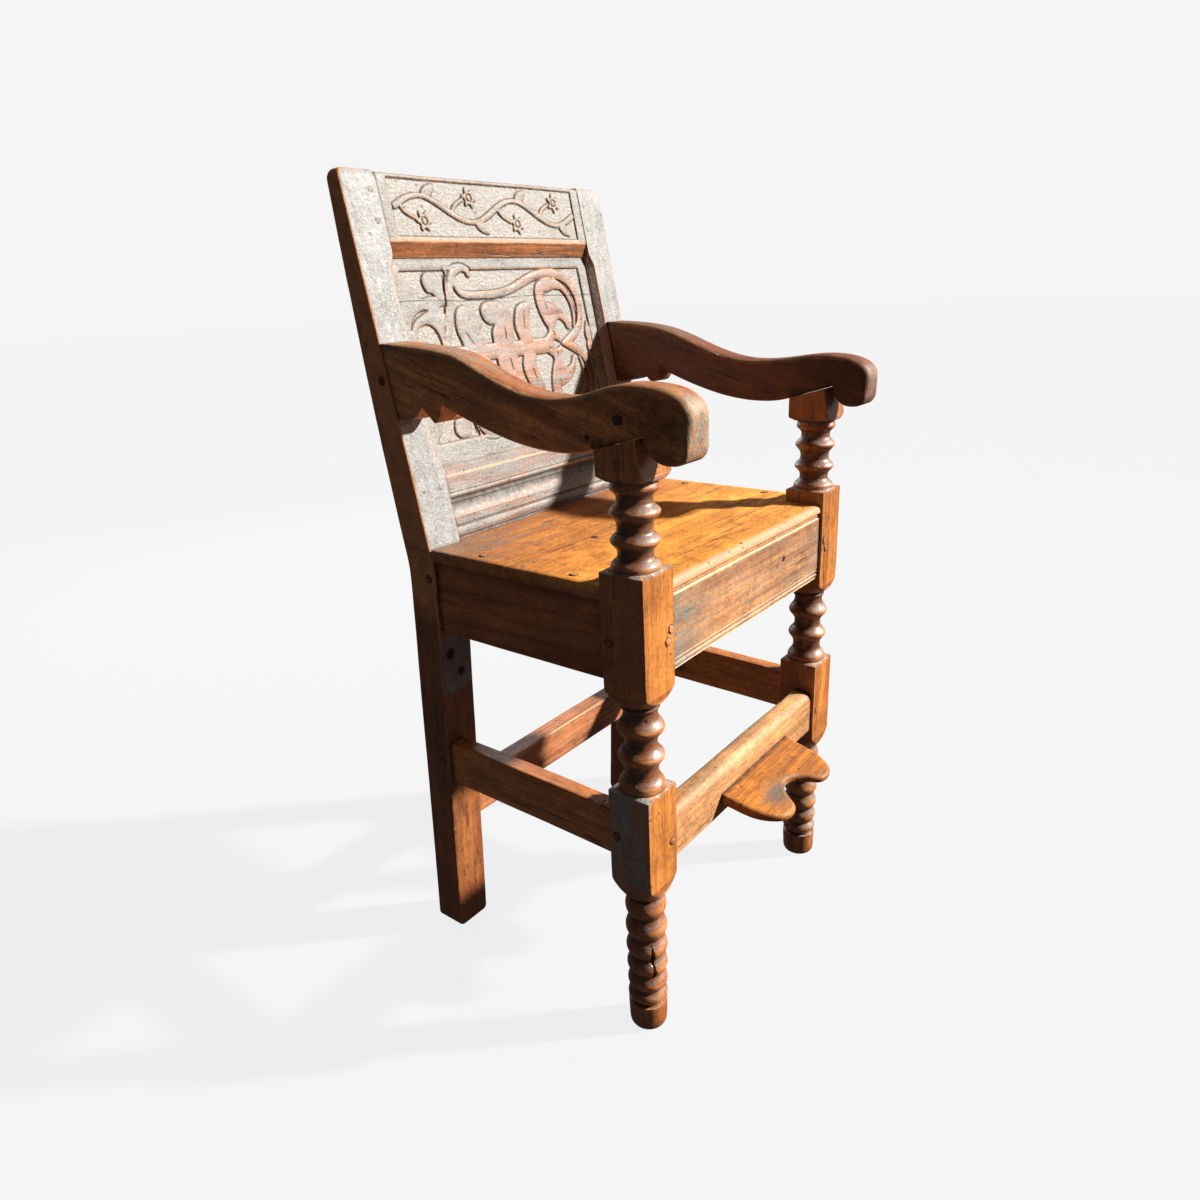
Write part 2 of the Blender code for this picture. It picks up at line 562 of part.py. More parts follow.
def arm_outline(wear):
    """Side view of an arm: swept top, rolled nose worn down by some amount, and a cusped bracket under its back end."""
    front, base = FRONT_POST_SIDE, ARM_SEAT
    span = post_front(base + ARM_TOP_RISE / 2) - front
    reach = ARM_NOSE_REACH - 0.6 * wear
    top, bottom = base + ARM_NOSE_RISE - wear, base - ARM_NOSE_DROP
    tall = top - bottom

    def at(share, rise):
        return front + share * span, base + rise

    back_top = (post_front(base + ARM_TOP_RISE) - FIT, base + ARM_TOP_RISE)
    shoulder = at(0.64, 0.87 * ARM_TOP_RISE - 0.5 * wear)
    hollow = at(0.19, ARM_HOLLOW_RISE)
    crown, brow = (0.24 * reach, top), (-reach, top - 0.40 * tall)
    chin, sole = (-0.95 * reach, bottom + 0.21 * tall), (-0.52 * reach, bottom)
    seat_front, seat_back = (0.0, base), (front, base - ARM_SEAT_FALL)
    points = [back_top]
    points += curve(back_top, at(0.9, ARM_TOP_RISE), at(0.74, 0.95 * ARM_TOP_RISE), shoulder, 3)
    points += curve(shoulder, at(0.53, 0.76 * ARM_TOP_RISE - 0.5 * wear), at(0.38, ARM_HOLLOW_RISE), hollow)
    points += curve(hollow, at(0.04, ARM_HOLLOW_RISE), (reach, top), crown)
    points += curve(crown, (-0.4 * reach, top), (-0.98 * reach, top - 0.06 * tall - 0.5 * wear), brow, 6)
    points.append(chin)
    points += curve(chin, (-0.90 * reach, bottom + 0.04 * tall), (-0.76 * reach, bottom), sole, 4)
    points += curve(sole, (-0.16 * reach, bottom), (-0.03 * reach, base - 0.48 * ARM_NOSE_DROP), seat_front, 5)
    points.append(seat_back)

    rise, drop = ARM_BRACKET_RISE, ARM_BRACKET_DROP
    cusp, tooth, notch, heel = at(0.71, rise), at(0.762, -drop), at(0.822, 0.75 * rise), at(0.925, -drop)
    points += curve(seat_back, at(0.13, -2 * ARM_SEAT_FALL), at(0.40, -1.6 * ARM_SEAT_FALL), cusp, 8)
    points += curve(cusp, at(0.722, 0.45 * rise), at(0.737, -drop), tooth, 3)
    points += curve(tooth, at(0.787, 0.22 * rise), at(0.802, 0.45 * rise), notch, 3)
    points += curve(notch, at(0.847, 0.22 * rise), at(0.877, -drop), heel, 4)
    points.append((post_front(base - drop) - FIT, base - drop))
    return points


def arm_back_tenon_box():
    """Tenon that runs from the back of the sitter's left arm into the back post."""
    z0, z1 = ARM_SEAT + TENON_SHOULDER, ARM_SEAT + ARM_TOP_RISE - 2 * TENON_SHOULDER
    low = (ARM_MID - ARM_TENON_THICKNESS / 2, post_front(z0) - 2 * OVERLAP, z0)
    return low, (ARM_MID + ARM_TENON_THICKNESS / 2, post_front(z1) + ARM_TENON_LENGTH, z1)


def arm(name, side, finish, chair):
    inner = ARM_OUT - ARM_WIDTH
    outline = arm_outline(LEFT_NOSE_WEAR if side > 0 else 0.0)
    item = piece(name, prism(outline, "X", inner * side, ARM_OUT * side), finish, chair)
    combine(item, add_boxes([mirrored(arm_back_tenon_box(), side)]), 'UNION', "back_tenon", chair)
    low, high = grown(arm_tenon_box(side))
    combine(item, add_boxes([(low, high)]), 'DIFFERENCE', "post_mortise", chair)
    return item


# Seat and footrest

def seat_board(finish, chair):
    """One wide board, notched round the four posts, its front edge moulded."""
    side = FRONT_OUT - SEAT_SIDE_INSET
    front_neck, back_neck = FRONT_IN - FIT, BACK_IN - FIT
    step = FRONT_POST_SIDE + FIT
    shoulder = post_front(SEAT_BOTTOM) - FIT
    back = post_front(SEAT_TOP) + SEAT_UNDER_BACK
    half = [(front_neck, SEAT_FRONT_INSET), (front_neck, step), (side, step), (side, shoulder),
            (back_neck, shoulder), (back_neck, back)]
    outline = half + [(-x, y) for x, y in reversed(half)]
    shape = prism(outline, "Z", SEAT_BOTTOM, SEAT_TOP)
    edge = [e for e in shape.edges
            if all(abs(v.co.y - SEAT_FRONT_INSET) < FIT and abs(v.co.z - SEAT_TOP) < FIT for v in e.verts)]
    bmesh.ops.bevel(shape, geom=edge, offset=SEAT_EDGE_ROUND, segments=3, profile=0.5, affect='EDGES')
    return piece("seat_board", shape, finish, chair)


def footrest_outline(rear):
    """Plan of the footrest: straight sides that round into two lobes with a notch between them."""
    half = FOOTREST_WIDTH / 2
    reach = FOOTREST_REACH / math.cos(FOOTREST_DROOP)
    notch = reach - FOOTREST_NOTCH
    left = [(half, rear), (half, -0.2 * reach)]
    tip, cheek = (0.58 * half, -reach), (0.22 * half, -0.66 * reach)
    left += curve(left[-1], (half, -0.62 * reach), (0.86 * half, -reach), tip)
    left += curve(tip, (0.34 * half, -reach), (0.36 * half, -0.80 * reach), cheek)
    left += curve(cheek, (0.14 * half, -0.58 * reach), (0.08 * half, -notch), (0.0, -notch), 4)
    return left + [(-x, y) for x, y in reversed(left[:-1])]


def footrest_block(grow):
    """Box of the stretch of the board that is let into the front stretcher, in the board's own frame."""
    half = FOOTREST_WIDTH / 2 + grow
    rear = RAIL_FACE_INSET + FOOTREST_HOUSING + grow
    return (-half, -OVERLAP, -FOOTREST_THICKNESS - grow), (half, rear, grow)


def footrest(finish, board_frame):
    rear = footrest_block(0.0)[1][1]
    board = prism(footrest_outline(rear), "Z", -FOOTREST_THICKNESS, 0.0)
    return piece("footrest", board, finish, board_frame)


# Pegs

def add_rod(shape, start, direction, radius, length, dome=0.0):
    """Add a round rod that runs from start along an axis direction, with a narrowed head if dome is set."""
    k = max(range(3), key=lambda i: abs(direction[i]))
    sign = direction[k]
    stations = [(0.0, radius - dome), (length, radius)]
    if dome:
        stations.insert(1, (dome, radius))
    rings = []
    for along, r in stations:
        ring = []
        for n in range(PEG_SIDES):
            turn = 2 * math.pi * (n + 0.5) / PEG_SIDES
            point = [r * math.cos(turn), r * math.sin(turn)]
            point.insert(k, sign * along)
            ring.append(shape.verts.new([c + s for c, s in zip(point, start)]))
        rings.append(ring)
    for lower, upper in zip(rings, rings[1:]):
        for n in range(PEG_SIDES):
            m = (n + 1) % PEG_SIDES
            shape.faces.new((lower[n], lower[m], upper[m], upper[n]))
    shape.faces.new(rings[0])
    shape.faces.new(rings[-1])


def peg_places():
    """Name, frame, face point on the sitter's left, direction, length and joined pieces of the peg pairs."""
    inward, backward, forward, down = (-1, 0, 0), (0, 1, 0), (0, -1, 0), (0, 0, -1)
    front_row = FRONT_POST_SIDE - PEG_SETBACK
    front_in = FRONT_IN + PEG_SETBACK
    back_in = BACK_IN + PEG_SETBACK
    seat_mid = (RAIL_TOP + RAIL_BOTTOM) / 2
    seat_high = (RAIL_TOP + seat_mid) / 2
    side_mid = SIDE_STRETCHER_TOP - SIDE_STRETCHER_HEIGHT / 2
    cross_mid = FRONT_STRETCHER_TOP - FRONT_STRETCHER_HEIGHT / 2
    back_mid = BACK_STRETCHER_TOP - BACK_STRETCHER_HEIGHT / 2
    arm_mid = ARM_SEAT + ARM_TOP_RISE / 2
    crest_mid = BACK_TOP - CREST_FACE_HEIGHT / 2
    lower_mid = LOWER_RAIL_TOP - LOWER_RAIL_BEVEL_HEIGHT - LOWER_RAIL_FLAT_HEIGHT / 2
    twin = 0.75 * PEG_DIAMETER
    pegs = [
        ("side_rail_front_peg", "chair", (FRONT_OUT, front_row, seat_mid), inward, PEG_LENGTH,
         ("front_post", "side_seat_rail")),
        ("side_rail_back_peg", "chair", (BACK_OUT, post_front(seat_high) + PEG_SETBACK, seat_high), inward,
         PEG_LENGTH, ("back_post", "side_seat_rail")),
        ("side_stretcher_front_peg", "chair", (FRONT_OUT, front_row, side_mid), inward, PEG_LENGTH,
         ("front_post", "side_stretcher")),
        ("side_stretcher_back_peg", "chair", (BACK_OUT, post_front(side_mid) + PEG_SETBACK, side_mid),
         inward, PEG_LENGTH, ("back_post", "side_stretcher")),
        ("front_rail_upper_peg", "chair", (front_in - twin / 2, 0.0, seat_mid + 1.5 * twin), backward,
         PEG_LENGTH, ("front_post", "front_seat_rail")),
        ("front_rail_lower_peg", "chair", (front_in + twin / 2, 0.0, seat_mid - twin / 2), backward,
         PEG_LENGTH, ("front_post", "front_seat_rail")),
        ("front_stretcher_peg", "chair", (front_in, 0.0, cross_mid), backward, PEG_LENGTH,
         ("front_post", "front_stretcher")),
        ("back_rail_peg", "chair", (back_in, post_front(seat_mid) + BACK_POST_DEPTH, seat_mid), forward,
         PEG_LENGTH, ("back_post", "back_seat_rail")),
        ("back_stretcher_peg", "chair", (back_in, post_front(back_mid) + BACK_POST_DEPTH, back_mid), forward,
         PEG_LENGTH, ("back_post", "back_stretcher")),
        ("arm_front_peg", "chair", (ARM_OUT, FRONT_POST_SIDE / 2, ARM_SEAT + ARM_TENON_HEIGHT / 2), inward,
         PEG_LENGTH, ("arm", "front_post")),
        ("arm_back_peg", "chair", (BACK_OUT, post_front(arm_mid) + PEG_SETBACK, arm_mid), inward, PEG_LENGTH,
         ("back_post", "arm")),
        ("crest_upper_peg", "back", (back_in, 0.0, crest_mid + 2 * PEG_DIAMETER), backward, CREST_PEG_LENGTH,
         ("back_post", "crest_rail")),
        ("crest_lower_peg", "back", (back_in, 0.0, crest_mid - 2 * PEG_DIAMETER), backward, CREST_PEG_LENGTH,
         ("back_post", "crest_rail")),
        ("lower_rail_peg", "back", (back_in, 0.0, lower_mid), backward, PEG_LENGTH,
         ("back_post", "lower_back_rail")),
    ]
    run = post_front(SEAT_TOP) - FRONT_POST_SIDE
    for share, place in zip(SEAT_PEG_SHARES, ("front", "back")):
        point = (SIDE_TENON_MID, FRONT_POST_SIDE + share * run, SEAT_TOP)
        joined = ("seat_board", "side_seat_rail")
        pegs.append((f"seat_{place}_peg", "chair", point, down, SEAT_PEG_LENGTH, joined))
    return pegs


def main():
    clear_scene()
    dark = oak("dark_waxed_oak", (0.16, 0.066, 0.026), 0.42)
    warm = oak("warm_waxed_oak", (0.34, 0.140, 0.042), 0.40)
    grey = oak("dry_grey_oak", (0.30, 0.215, 0.165), 0.60)
    peg_oak = oak("peg_oak", (0.12, 0.050, 0.022), 0.50)

    chair = frame("chair", None, (0.0, (CHAIR_REACH - CHAIR_BACK) / 2, 0.0))
    back = frame("raked_back", chair, (0.0, FRAME_DEPTH, KNEE), -RAKE)
    board_frame = frame("footrest_frame", chair, (FOOTREST_OFFSET, 0.0, FOOTREST_TOP), FOOTREST_DROOP)
    frames = {"chair": chair, "back": back}

    made = {}
    for side, hand in ((LEFT, "left"), (RIGHT, "right")):
        made["front_post", side] = front_post(f"front_post_{hand}", side, warm, chair)
        made["back_post", side] = back_post(f"back_post_{hand}", side, dark, chair, back)
        made["side_seat_rail", side] = side_member(f"side_seat_rail_{hand}", side, "seat", dark, chair)
        made["side_stretcher", side] = side_member(f"side_stretcher_{hand}", side, "stretcher", dark, chair)
        made["arm", side] = arm(f"arm_{hand}", side, dark, chair)
    shared = {
        "front_seat_rail": cross_member("front_seat_rail", beaded_section, warm, chair),
        "front_stretcher": cross_member("front_stretcher", rounded_section, warm, chair),
        "back_seat_rail": cross_member("back_seat_rail", plain_section, dark, chair),
        "back_stretcher": cross_member("back_stretcher", plain_section, warm, chair),
        "crest_rail": crest_rail(grey, back),
        "lower_back_rail": lower_back_rail(grey, back),
    }
    shared["seat_board"] = seat_board(warm, chair)
    piece("back_panel", add_boxes([panel_box()]), grey, back)
    footrest(warm, board_frame)
    housing = add_boxes([footrest_block(FIT)])
    combine(shared["front_stretcher"], housing, 'DIFFERENCE', "footrest_housing", board_frame)

    radius = PEG_DIAMETER / 2
    for name, where, point, direction, length, joined in peg_places():
        for side, hand in ((LEFT, "left"), (RIGHT, "right")):
            start = (point[0] * side, point[1], point[2])
            way = (direction[0] * side, direction[1], direction[2])
            head = [s - w * PEG_PROUD for s, w in zip(start, way)]
            shape = bmesh.new()
            add_rod(shape, head, way, radius, length + PEG_PROUD, dome=PEG_PROUD)
            piece(f"{name}_{hand}", shape, peg_oak, frames[where], smooth=True)
            mouth = [s - w * RUN_OUT for s, w in zip(start, way)]
            for target in joined:
                owner = made.get((target, side)) or shared[target]
                hole = bmesh.new()
                add_rod(hole, mouth, way, radius + FIT, RUN_OUT + length + FIT)
                combine(owner, hole, 'DIFFERENCE', f"{name}_{hand}_hole", frames[where])


main()
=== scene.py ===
# %% [markdown]
# # A child's joined oak high chair
# A simple joined frame with long use behind it: turned front posts, a raked back with a carved panel, swept arms
# and a footboard. The imported solids give every place and size. This lesson lays a finer skin over them: each
# member becomes a surface worked out with numpy, and carries a few painted numbers (how worn, how grimy, how dry
# each point is) that the oak finishes read later. In places these numbers also paint light and shade into the
# colour: painted highlights, a painted sky reflection, painted light and painted shade.

# %% Load the frame
import math

import bpy
import numpy as np
from mathutils import Matrix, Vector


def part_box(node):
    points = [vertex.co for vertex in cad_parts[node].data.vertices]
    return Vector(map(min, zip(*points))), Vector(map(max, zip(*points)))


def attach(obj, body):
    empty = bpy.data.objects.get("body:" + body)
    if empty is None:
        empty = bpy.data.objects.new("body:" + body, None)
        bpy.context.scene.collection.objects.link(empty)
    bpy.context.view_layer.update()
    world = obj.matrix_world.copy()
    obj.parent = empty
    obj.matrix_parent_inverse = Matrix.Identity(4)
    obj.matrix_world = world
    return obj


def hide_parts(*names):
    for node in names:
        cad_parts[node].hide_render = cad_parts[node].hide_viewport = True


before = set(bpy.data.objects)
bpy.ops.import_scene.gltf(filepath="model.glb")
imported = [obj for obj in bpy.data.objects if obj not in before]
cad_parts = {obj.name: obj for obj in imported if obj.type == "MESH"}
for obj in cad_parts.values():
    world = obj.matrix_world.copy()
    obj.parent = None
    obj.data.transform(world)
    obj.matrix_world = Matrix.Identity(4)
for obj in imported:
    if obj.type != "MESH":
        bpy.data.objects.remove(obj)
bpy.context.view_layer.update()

# %% [markdown]
# ## The camera
# The photograph was taken with a wide lens, close by, from the sitter's right and a little above. Its place was
# worked out from the corners of the chair, so the lens and the tilt are given as numbers. A camera in Blender
# looks along its own -Z axis, so its matrix has the picture's right, its up, and the way back as columns.

# %% Camera
YAW, PITCH, ROLL = (math.radians(angle) for angle in (-51.615, 19.927, -2.516))
CAMERA_PLACE = (-0.8644, -0.6146, 0.8347)
LENS, SENSOR = 25.88, 36.0
NEAREST, FARTHEST = 0.01, 60.0


def add_object(name, data):
    """An object in the scene that shows the given data."""
    item = bpy.data.objects.new(name, data)
    bpy.context.scene.collection.objects.link(item)
    return item


def placed(right, up, back, place):
    """The matrix of an object, with its three axes and its place as columns."""
    matrix = np.eye(4)
    matrix[:3, :] = np.stack([right, up, back, place], axis=1)
    return Matrix(matrix.tolist())


def camera_axes(yaw, pitch, roll):
    """Right, up and backward of the camera; roll turns right and up about the line of sight."""
    ahead = np.array([-math.sin(yaw) * math.cos(pitch), math.cos(yaw) * math.cos(pitch), -math.sin(pitch)])
    level = np.array([math.cos(yaw), math.sin(yaw), 0.0])
    above = np.cross(level, ahead)
    right = math.cos(roll) * level + math.sin(roll) * above
    up = math.cos(roll) * above - math.sin(roll) * level
    return right, up, -ahead


camera = add_object("camera", bpy.data.cameras.new("camera"))
camera.data.sensor_width, camera.data.lens = SENSOR, LENS
camera.data.clip_start, camera.data.clip_end = NEAREST, FARTHEST
camera.matrix_world = placed(*camera_axes(YAW, PITCH, ROLL), CAMERA_PLACE)
bpy.context.scene.camera = camera
print("camera at", CAMERA_PLACE, "lens", LENS)

# %% [markdown]
# ## Nodes in few words
# Light and colour are worked out by nodes, and a tree of nodes soon grows long. A few helpers keep it short. A small
# class wraps what a socket gives, so that masks and heights can be added and multiplied like plain numbers while
# the Math nodes are made behind the scenes.

# %% Node helpers
MIX_SHARE, MIX_UNDER, MIX_OVER, MIXED = 0, 6, 7, 2         # the colour sockets of a Mix node, by number


def join(tree, value, socket):
    """Link a value to an input, or set a plain number, vector or colour (without its alpha) on it."""
    if isinstance(value, Value):
        tree.links.new(value.socket, socket)
    else:
        socket.default_value = (*value, 1.0) if socket.type == 'RGBA' else value


def fill(tree, node, **inputs):
    """Give a node its inputs by name, with _ for a space."""
    for key, value in inputs.items():
        join(tree, value, node.inputs[key.replace("_", " ")])
    return node


def line_up(tree, node, *values):
    """Give a node its inputs in their order."""
    for value, socket in zip(values, node.inputs):
        join(tree, value, socket)
    return node


def put(tree, kind, settings=None, **inputs):
    """Add a node with its settings and its inputs."""
    node = tree.nodes.new("ShaderNode" + kind)
    for key, value in (settings or {}).items():
        setattr(node, key, value)
    return fill(tree, node, **inputs)


def give(tree, kind, settings=None, output=0, **inputs):
    """Add a node, and take one of its outputs."""
    return Value(tree, put(tree, kind, settings, **inputs).outputs[output])


class Value:
    """What a socket gives, ready for sums: each sum adds a node to the tree."""

    def __init__(self, tree, socket):
        self.tree, self.socket = tree, socket

    def calc(self, operation, *others, clamp=False):
        """One sum on masks or heights, clipped to 0..1 if asked."""
        node = put(self.tree, "Math", {"operation": operation, "use_clamp": clamp})
        return Value(self.tree, line_up(self.tree, node, self, *others).outputs[0])

    # plus, minus and times become Math nodes
    def __add__(self, other):
        return self.calc('ADD', other)

    def __sub__(self, other):
        return self.calc('SUBTRACT', other)

    def __mul__(self, other):
        return self.calc('MULTIPLY', other)

    def remap(self, low, high, to_low=0.0, to_high=1.0):
        """Stretch a range of a mask to another range, and clip it there."""
        return give(self.tree, "MapRange", Value=self, From_Min=low, From_Max=high, To_Min=to_low, To_Max=to_high)

    def tint(self, share, over, how='MIX'):
        """Lay another colour over this one by a mask."""
        node = put(self.tree, "Mix", {"data_type": 'RGBA', "blend_type": how})
        for value, number in ((share, MIX_SHARE), (self, MIX_UNDER), (over, MIX_OVER)):
            join(self.tree, value, node.inputs[number])
        return Value(self.tree, node.outputs[MIXED])

    def noise(self, scale, detail=3.0, rough=0.55, bend=0.0):
        """Cloudy noise over this vector; three scales squeeze it along the axes, which makes streaks."""
        vector = self
        if isinstance(scale, tuple):
            vector, scale = give(self.tree, "Mapping", Vector=self, Scale=scale), 1.0
        return give(self.tree, "TexNoise", Vector=vector, Scale=scale, Detail=detail, Roughness=rough,
                    Distortion=bend)

    def cells(self, scale):
        """Scattered cells: the distance to the nearest centre, and a colour of its own for each cell."""
        outputs = put(self.tree, "TexVoronoi", Vector=self, Scale=scale).outputs
        return Value(self.tree, outputs["Distance"]), Value(self.tree, outputs["Color"])


print("node helpers ready")

# %% [markdown]
# ## The studio
# A low, fairly hard key light from the sitter's front left draws the carving, and a soft box beside it gives
# the dry back its silvery sheen. A second soft box behind the chair keeps its back readable. The floor is a pale
# sheet that glows a little, so its shadows stay light, and only the camera sees it: the dark sides of the chair
# then keep their depth.

# %% Lights
AIM = np.array([0.0, 0.0, 0.5])
LIGHTS = (  # name, kind, azimuth, elevation, distance, energy, colour, and settings of its own
    ("key", 'SUN', 42.0, 30.0, 4.0, 11.0, (1.0, 0.95, 0.88), {"angle": math.radians(3.0)}),
    ("soft_box", 'AREA', 49.0, 16.0, 2.6, 10.0, (1.0, 0.99, 0.97),
     {"shape": 'RECTANGLE', "size": 1.5, "size_y": 1.0}),
    ("back_soft_box", 'AREA', 152.0, 20.0, 2.6, 26.0, (0.94, 0.97, 1.0),
     {"shape": 'RECTANGLE', "size": 1.6, "size_y": 1.2}))


def towards(azimuth, elevation):
    """Unit vector to a light, from degrees: azimuth turns from straight in front towards the sitter's left."""
    turn, rise = math.radians(azimuth), math.radians(elevation)
    return np.array([math.sin(turn) * math.cos(rise), -math.cos(turn) * math.cos(rise), math.sin(rise)])


for name, kind, azimuth, elevation, distance, energy, colour, settings in LIGHTS:
    lamp = bpy.data.lights.new(name, kind)
    lamp.energy, lamp.color = energy, colour
    for setting, value in settings.items():
        setattr(lamp, setting, value)
    back = towards(azimuth, elevation)
    right = np.cross([0.0, 0.0, 1.0], back)
    right /= np.linalg.norm(right)
    light = add_object(name, lamp)
    light.matrix_world = placed(right, np.cross(back, right), back, AIM + back * distance)
    light.visible_camera = False
print("lights:", [row[0] for row in LIGHTS])

# %% World and floor
FLOOR_HALF = 30.0
FLOOR_CORNERS = [(-FLOOR_HALF, -FLOOR_HALF, 0), (FLOOR_HALF, -FLOOR_HALF, 0), (FLOOR_HALF, FLOOR_HALF, 0),
                 (-FLOOR_HALF, FLOOR_HALF, 0)]
world = bpy.data.worlds.new("studio")
bpy.context.scene.world = world
world.use_nodes = True
tree = world.node_tree
tree.nodes.clear()
seen = give(tree, "Background", Color=(1.0, 1.0, 1.0), Strength=0.912)
fill_light = give(tree, "Background", Color=(1.0, 0.86, 0.82), Strength=0.090)
to_camera = give(tree, "LightPath", output="Is Camera Ray")
either = line_up(tree, put(tree, "MixShader"), to_camera, fill_light, seen)
put(tree, "OutputWorld", Surface=Value(tree, either.outputs[0]))

floor_mesh = bpy.data.meshes.new("floor")
floor_mesh.from_pydata(FLOOR_CORNERS, [], [(0, 1, 2, 3)])
floor = add_object("floor", floor_mesh)
pale_floor = bpy.data.materials.new("pale_floor")
pale_floor.use_nodes = True
tree = pale_floor.node_tree
fill(tree, tree.nodes["Principled BSDF"], Base_Color=(0.040, 0.040, 0.040), Roughness=0.9, Specular_IOR_Level=0.0,
     Emission_Color=(0.984, 0.990, 1.0), Emission_Strength=0.846)
floor_mesh.materials.append(pale_floor)
floor.visible_diffuse = False
floor.visible_glossy = False
bpy.context.scene.view_settings.view_transform = 'Standard'
print("world:", world.name, "floor:", 2 * FLOOR_HALF, "metres wide")

# %% [markdown]
# ## From arrays to pieces
# Every member is a grid of points: rows go along it, columns go round it. Four neighbours make a face, and the
# ends are closed with one many-sided face each. Each piece also keeps its painted numbers as attributes. Nothing
# on an old chair is quite straight, so one gentle field of waves bends all the pieces together, and the joints
# stay shut.

# %% Waves of handwork
WAVES = np.random.default_rng(7)
WAVE_WAYS = WAVES.normal(size=(3, 5, 3))
WAVE_STARTS = WAVES.uniform(0.0, 2.0 * math.pi, size=(3, 5))
SLOW_SIZE, SLOW_LENGTH = 0.0005, 0.16
QUICK_SIZE, QUICK_LENGTH = 0.00013, 0.034


def waves(points, length):
    """Three smooth numbers for each point: each is a sum of five sine waves that cross it in fixed directions."""
    turns = np.einsum("...k,cwk->...cw", points * (2.2 / length), WAVE_WAYS) + WAVE_STARTS
    return np.sin(turns).sum(axis=-1) / 3.0


def hand_worked(points):
    """The point, moved by a slow wave of half a millimetre and a quick one of an eighth."""
    return points + SLOW_SIZE * waves(points, SLOW_LENGTH) + QUICK_SIZE * waves(points, QUICK_LENGTH)


print("a trial wave at the origin:", waves(np.zeros((1, 3)), 0.1).round(2))

# %% Pieces from grids
SHARP_FROM = math.radians(48.0)


def faces_of(ids):
    """Four-sided faces between the neighbours in a grid of vertex numbers."""
    return np.stack([ids[:-1, :-1], ids[:-1, 1:], ids[1:, 1:], ids[1:, :-1]], axis=-1).reshape(-1, 4)


def round_faces(rows, columns):
    """Faces of a grid whose columns join round, numbered row by row."""
    ids = np.arange(rows * columns).reshape(rows, columns)
    return faces_of(np.concatenate([ids, ids[:, :1]], axis=1))


def volume_of(points, quads):
    """Six times the volume that the faces close round, from the triple products of their two triangles."""
    a, b, c, d = (points[quads[:, k]] for k in range(4))
    return np.einsum("ij,ij->", a, np.cross(b, c)) + np.einsum("ij,ij->", a, np.cross(c, d))


def make_piece(name, points, quads, lids, marks, node=None):
    """Put points, faces and painted numbers (clipped to 0..1) into a mesh that rides on the frame and stands for
    its solid, which has the piece's own name unless another node is given."""
    shape, points = points.shape[:-1], hand_worked(points.reshape(-1, 3))
    if volume_of(points - points.mean(axis=0), quads) < 0.0:
        quads, lids = quads[:, ::-1], [lid[::-1] for lid in lids]
    corners = np.concatenate([quads.ravel(), *lids]).astype(np.int32)
    counts = np.array([4] * len(quads) + [len(lid) for lid in lids], np.int32)
    mesh = bpy.data.meshes.new(f"{name}_worked")
    mesh.vertices.add(len(points))
    mesh.vertices.foreach_set("co", points.astype(np.float32).ravel())
    mesh.loops.add(len(corners))
    mesh.loops.foreach_set("vertex_index", corners)
    mesh.polygons.add(len(counts))
    mesh.polygons.foreach_set("loop_start", (np.cumsum(counts) - counts).astype(np.int32))
    mesh.update(calc_edges=True)
    mesh.shade_smooth()
    mesh.set_sharp_from_angle(angle=SHARP_FROM)
    for mark, values in marks.items():
        flat = np.clip(np.broadcast_to(values, shape), 0.0, 1.0).ravel().astype(np.float32)
        mesh.attributes.new(mark, 'FLOAT', 'POINT').data.foreach_set("value", flat)
    item = add_object(f"{name}_worked", mesh)
    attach(item, "root")
    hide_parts(node or name)
    return item


def tube(name, points, slot, node=None, **marks):
    """A piece from rings of points (rows, columns, 3); the first and last rings are closed with a lid."""
    rows, columns = points.shape[:2]
    last = (rows - 1) * columns
    lids = [np.arange(columns)[::-1], np.arange(last, last + columns)]
    return make_piece(name, points, round_faces(rows, columns), lids, marks, node)


print("faces round three rings of four points:", len(round_faces(3, 4)))

# %% Soft outlines and steps
def rounded_loop(corners, reach, arc, sides):
    """Closed outline of a polygon with rounded corners, and a mark that is 1 in the middle of each corner.
    Each corner is a curve (1-t)^2 A + 2t(1-t) C + t^2 B between points at a given reach along its two sides.
    Corners are (..., n, 2), reach is (..., n), and sides gives the count of points on each straight side."""
    corners = np.asarray(corners)
    reach = np.broadcast_to(reach, corners.shape[:-1])[..., None]
    back = np.roll(corners, 1, axis=-2) - corners
    ahead = np.roll(corners, -1, axis=-2) - corners
    start = corners + back / np.linalg.norm(back, axis=-1, keepdims=True) * reach
    end = corners + ahead / np.linalg.norm(ahead, axis=-1, keepdims=True) * reach
    t = np.linspace(0.0, 1.0, arc)[:, None]
    parts, edge = [], []
    for n, count in enumerate(sides):
        a, c, b = (p[..., n, None, :] for p in (start, corners, end))
        parts.append((1 - t) ** 2 * a + 2 * t * (1 - t) * c + t ** 2 * b)
        s = (np.arange(1, count + 1) / (count + 1))[:, None]
        parts.append(b * (1 - s) + start[..., (n + 1) % len(sides), None, :] * s)
        edge.append(np.concatenate([np.sin(math.pi * t[:, 0]), np.zeros(count)]))
    return np.concatenate(parts, axis=-2), np.concatenate(edge)


def ease(low, high, value):
    """A smooth step: 0 below low, 1 above high, and 3t^2 - 2t^3 between."""
    t = np.clip((value - low) / (high - low), 0.0, 1.0)
    return t * t * (3.0 - 2.0 * t)


def bell(value, centre, width):
    """A bell curve: e to the power of minus the square of the distance from the centre, in widths."""
    return np.exp(-((value - centre) / width) ** 2)


print("half way up a smooth step:", ease(0.0, 1.0, 0.5))

# %% [markdown]
# ## Places on the frame
# These are the levels and lines of the joiner's setting-out: the front posts' faces, the knee of the back posts,
# the rake of the back and the heights of the seat and the arms. Where a solid's box gives a place, it is read
# from there.

